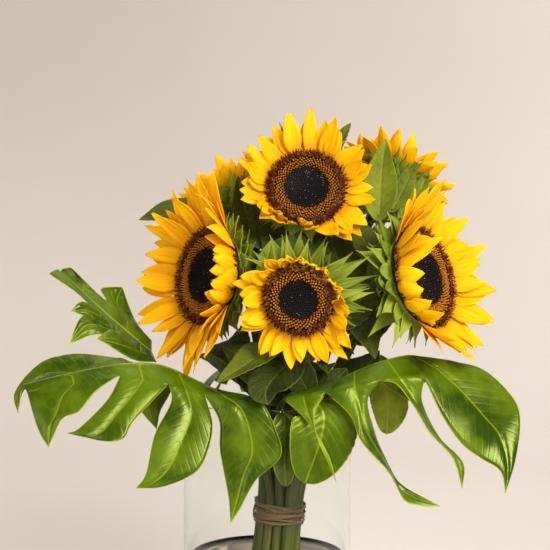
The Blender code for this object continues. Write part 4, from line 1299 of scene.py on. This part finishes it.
def make_vase(material):
    inner = VASE_RADIUS - GLASS_WALL
    half = GLASS_WALL / 2
    profile = [(0.0, GLASS_BASE)]
    profile += [(inner * share, GLASS_BASE) for share in (0.3, 0.6, 0.85)]
    profile += arc((inner - 4, GLASS_BASE + 4), 4, -90, 0, 8)
    profile += [(inner, height) for height in (40, 80, 120, 160, 200, 235)]
    profile += arc((VASE_RADIUS - half, VASE_HEIGHT - half), half, 180, 0, 12)
    profile += [(VASE_RADIUS, height) for height in (235, 200, 160, 120, 80, 40, 12)]
    profile += arc((VASE_RADIUS - 3, 3), 3, 0, -90, 6)
    profile += [(VASE_RADIUS * 0.6, 0.0), (0.0, 0.0)]
    hand_over(lathe_piece("glass_vase_clear", profile, 192, material), "glass", "glass_vase")


def make_water(material):
    """The water meets the glass, and climbs it a little at its surface."""
    radius = VASE_RADIUS - GLASS_WALL - 0.05
    floor = GLASS_BASE + 0.05
    profile = [(0.0, WATER_LEVEL), (radius * 0.5, WATER_LEVEL), (radius - 7, WATER_LEVEL),
               (radius - 4, WATER_LEVEL + 0.25), (radius - 2, WATER_LEVEL + 0.9),
               (radius - 0.8, WATER_LEVEL + 1.8), (radius, WATER_LEVEL + 2.6)]
    profile += [(radius, height) for height in (90, 60, 30)]
    profile += arc((radius - 4, floor + 4), 4, 0, -90, 8)
    profile += [(radius * 0.5, floor), (0.0, floor)]
    hand_over(lathe_piece("vase_water_still", profile, 160, material), "water", "vase_water")


# ---------------------------------------------------------------- set, light and camera
def make_backdrop():
    """A pale floor that curves up into a wall all round."""
    s = Shader("backdrop_paper")
    paper = s.noise(1.3, 2.0)
    fine = s.noise(900.0, 2.0)
    base = s.mix(s.step(paper, 0.3, 0.7), (0.665, 0.615, 0.565), (0.685, 0.635, 0.585))
    s.set(Base_Color=base, Roughness=0.9, Specular_IOR_Level=0.1)
    s.bump(fine, 0.05, 0.2)
    profile = [(0.0, 0.0), (300.0, 0.0), (900.0, 0.0)]
    profile += arc((1100, 1500), 1500, -90, 0, 24)
    profile += [(2600.0, 2400.0), (2600.0, 3600.0)]
    made = lathe_piece("backdrop", profile, 96, s.material)


# name: place, the point it shines at, width of its square, power, colour
LIGHTS = {
    "key": ((0.75, -1.30, 1.05), (0.0, 0.0, 0.33), 0.7, 41, SUN_WHITE),
    "top": ((0.1, 0.25, 1.6), (0.0, 0.0, 0.33), 1.0, 8, SOFT_WHITE),
    "fill": ((-1.0, -1.25, 0.75), (0.0, 0.0, 0.33), 0.9, 9, SOFT_WHITE),
    "floor": ((-0.8, 0.8, 1.3), (-0.5, 0.75, 0.0), 0.6, 5, SUN_WHITE),
    "wall": ((1.5, 0.7, 1.7), (1.4, 2.4, 1.1), 1.0, 25, SUN_WHITE),
}


def area_light(name, place, aim, size, power, colour):
    data = bpy.data.lights.new(name, "AREA")
    data.shape = "RECTANGLE"
    data.size = data.size_y = size
    data.energy = power
    data.color = colour
    made = add_to_scene(name, data)
    made.location = place
    made.rotation_mode = "QUATERNION"
    made.rotation_quaternion = (Vector(aim) - Vector(place)).to_track_quat("-Z", "Y")
    made.visible_camera = False


def make_camera():
    data = bpy.data.cameras.new("camera")
    data.lens = CAMERA_LENS
    data.sensor_width = 36
    data.dof.use_dof = False
    data.clip_start = 0.05
    data.clip_end = 20
    made = add_to_scene("camera", data)
    made.location = CAMERA_PLACE
    made.rotation_euler = (radians(90), 0, 0)
    bpy.context.scene.camera = made


def make_light():
    world = bpy.data.worlds.new("studio")
    world.use_nodes = True
    background = world.node_tree.nodes["Background"]
    background.inputs["Color"].default_value = WORLD_COLOUR
    background.inputs["Strength"].default_value = WORLD_STRENGTH
    bpy.context.scene.world = world
    for name, light in LIGHTS.items():
        area_light(name, *light)


make_camera()
bpy.context.scene.view_settings.view_transform = "Standard"
make_light()
make_backdrop()

STEM = stem_material()
DISC = disc_material()
BRACT = bract_material()
MONSTERA = (monstera_material("monstera_upper"), monstera_material("monstera_lower", under=True))
LEAF = (ovate_material("leaf_upper"), ovate_material("leaf_lower", under=True))

# name, shape, direction the upper side faces, where it stands if its points don't say so
MONSTERA_LEAVES = (
    ("left", LEFT_LEAF, (0, -0.6, 0.8), None),
    ("upper_left", UPPER_LEFT_LEAF, (0.1, -0.75, 0.65), None),
    ("right", RIGHT_LEAF, (0, -0.6, 0.8), None),
    ("back", both_halves(BACK_LEAF_HALF), (0, 0.1, 1), BACK_LEAF_PLACE),
)

make_vase(clear_material("vase_glass", (0.965, 0.985, 0.975), 1.47, 30.0, 0.4))
make_water(clear_material("vase_water_clear", (0.50, 0.41, 0.31), 1.333, 22.0, 0.6))
make_raffia(raffia_material())
ROUTES = stem_routes()
for number, (name, route) in enumerate(ROUTES.items()):
    make_stem(name, route, number, STEM)
for number, (name, flower) in enumerate(FLOWERS.items()):
    # Each flower gets its own petal material, whose orange is partly painted shade.
    petal = petal_material(name + "_petal", flower["orange"])
    make_petals(name, flower, number, petal)
    make_bracts(name, flower, number, BRACT)
    make_receptacle(name, flower, number, BRACT)
    make_disc(name, flower, number, DISC)
for number, (name, leaf, facing, place) in enumerate(MONSTERA_LEAVES, start=1):
    make_divided_leaf(name + "_monstera_leaf", leaf, facing, place, MONSTERA, number)
for number, (name, spec) in enumerate(OVATE_LEAVES.items()):
    skins = MONSTERA if name in GLOSSY_LEAVES else LEAF
    make_ovate_leaf(name, spec, ROUTES, skins, STEM, number)
for number, (name, leaves) in enumerate(STEM_LEAVES.items(), start=STEM_LEAF_SEED):
    make_stem_leaves(name, leaves, ROUTES[name + "_sunflower_stem"], LEAF, STEM, number)
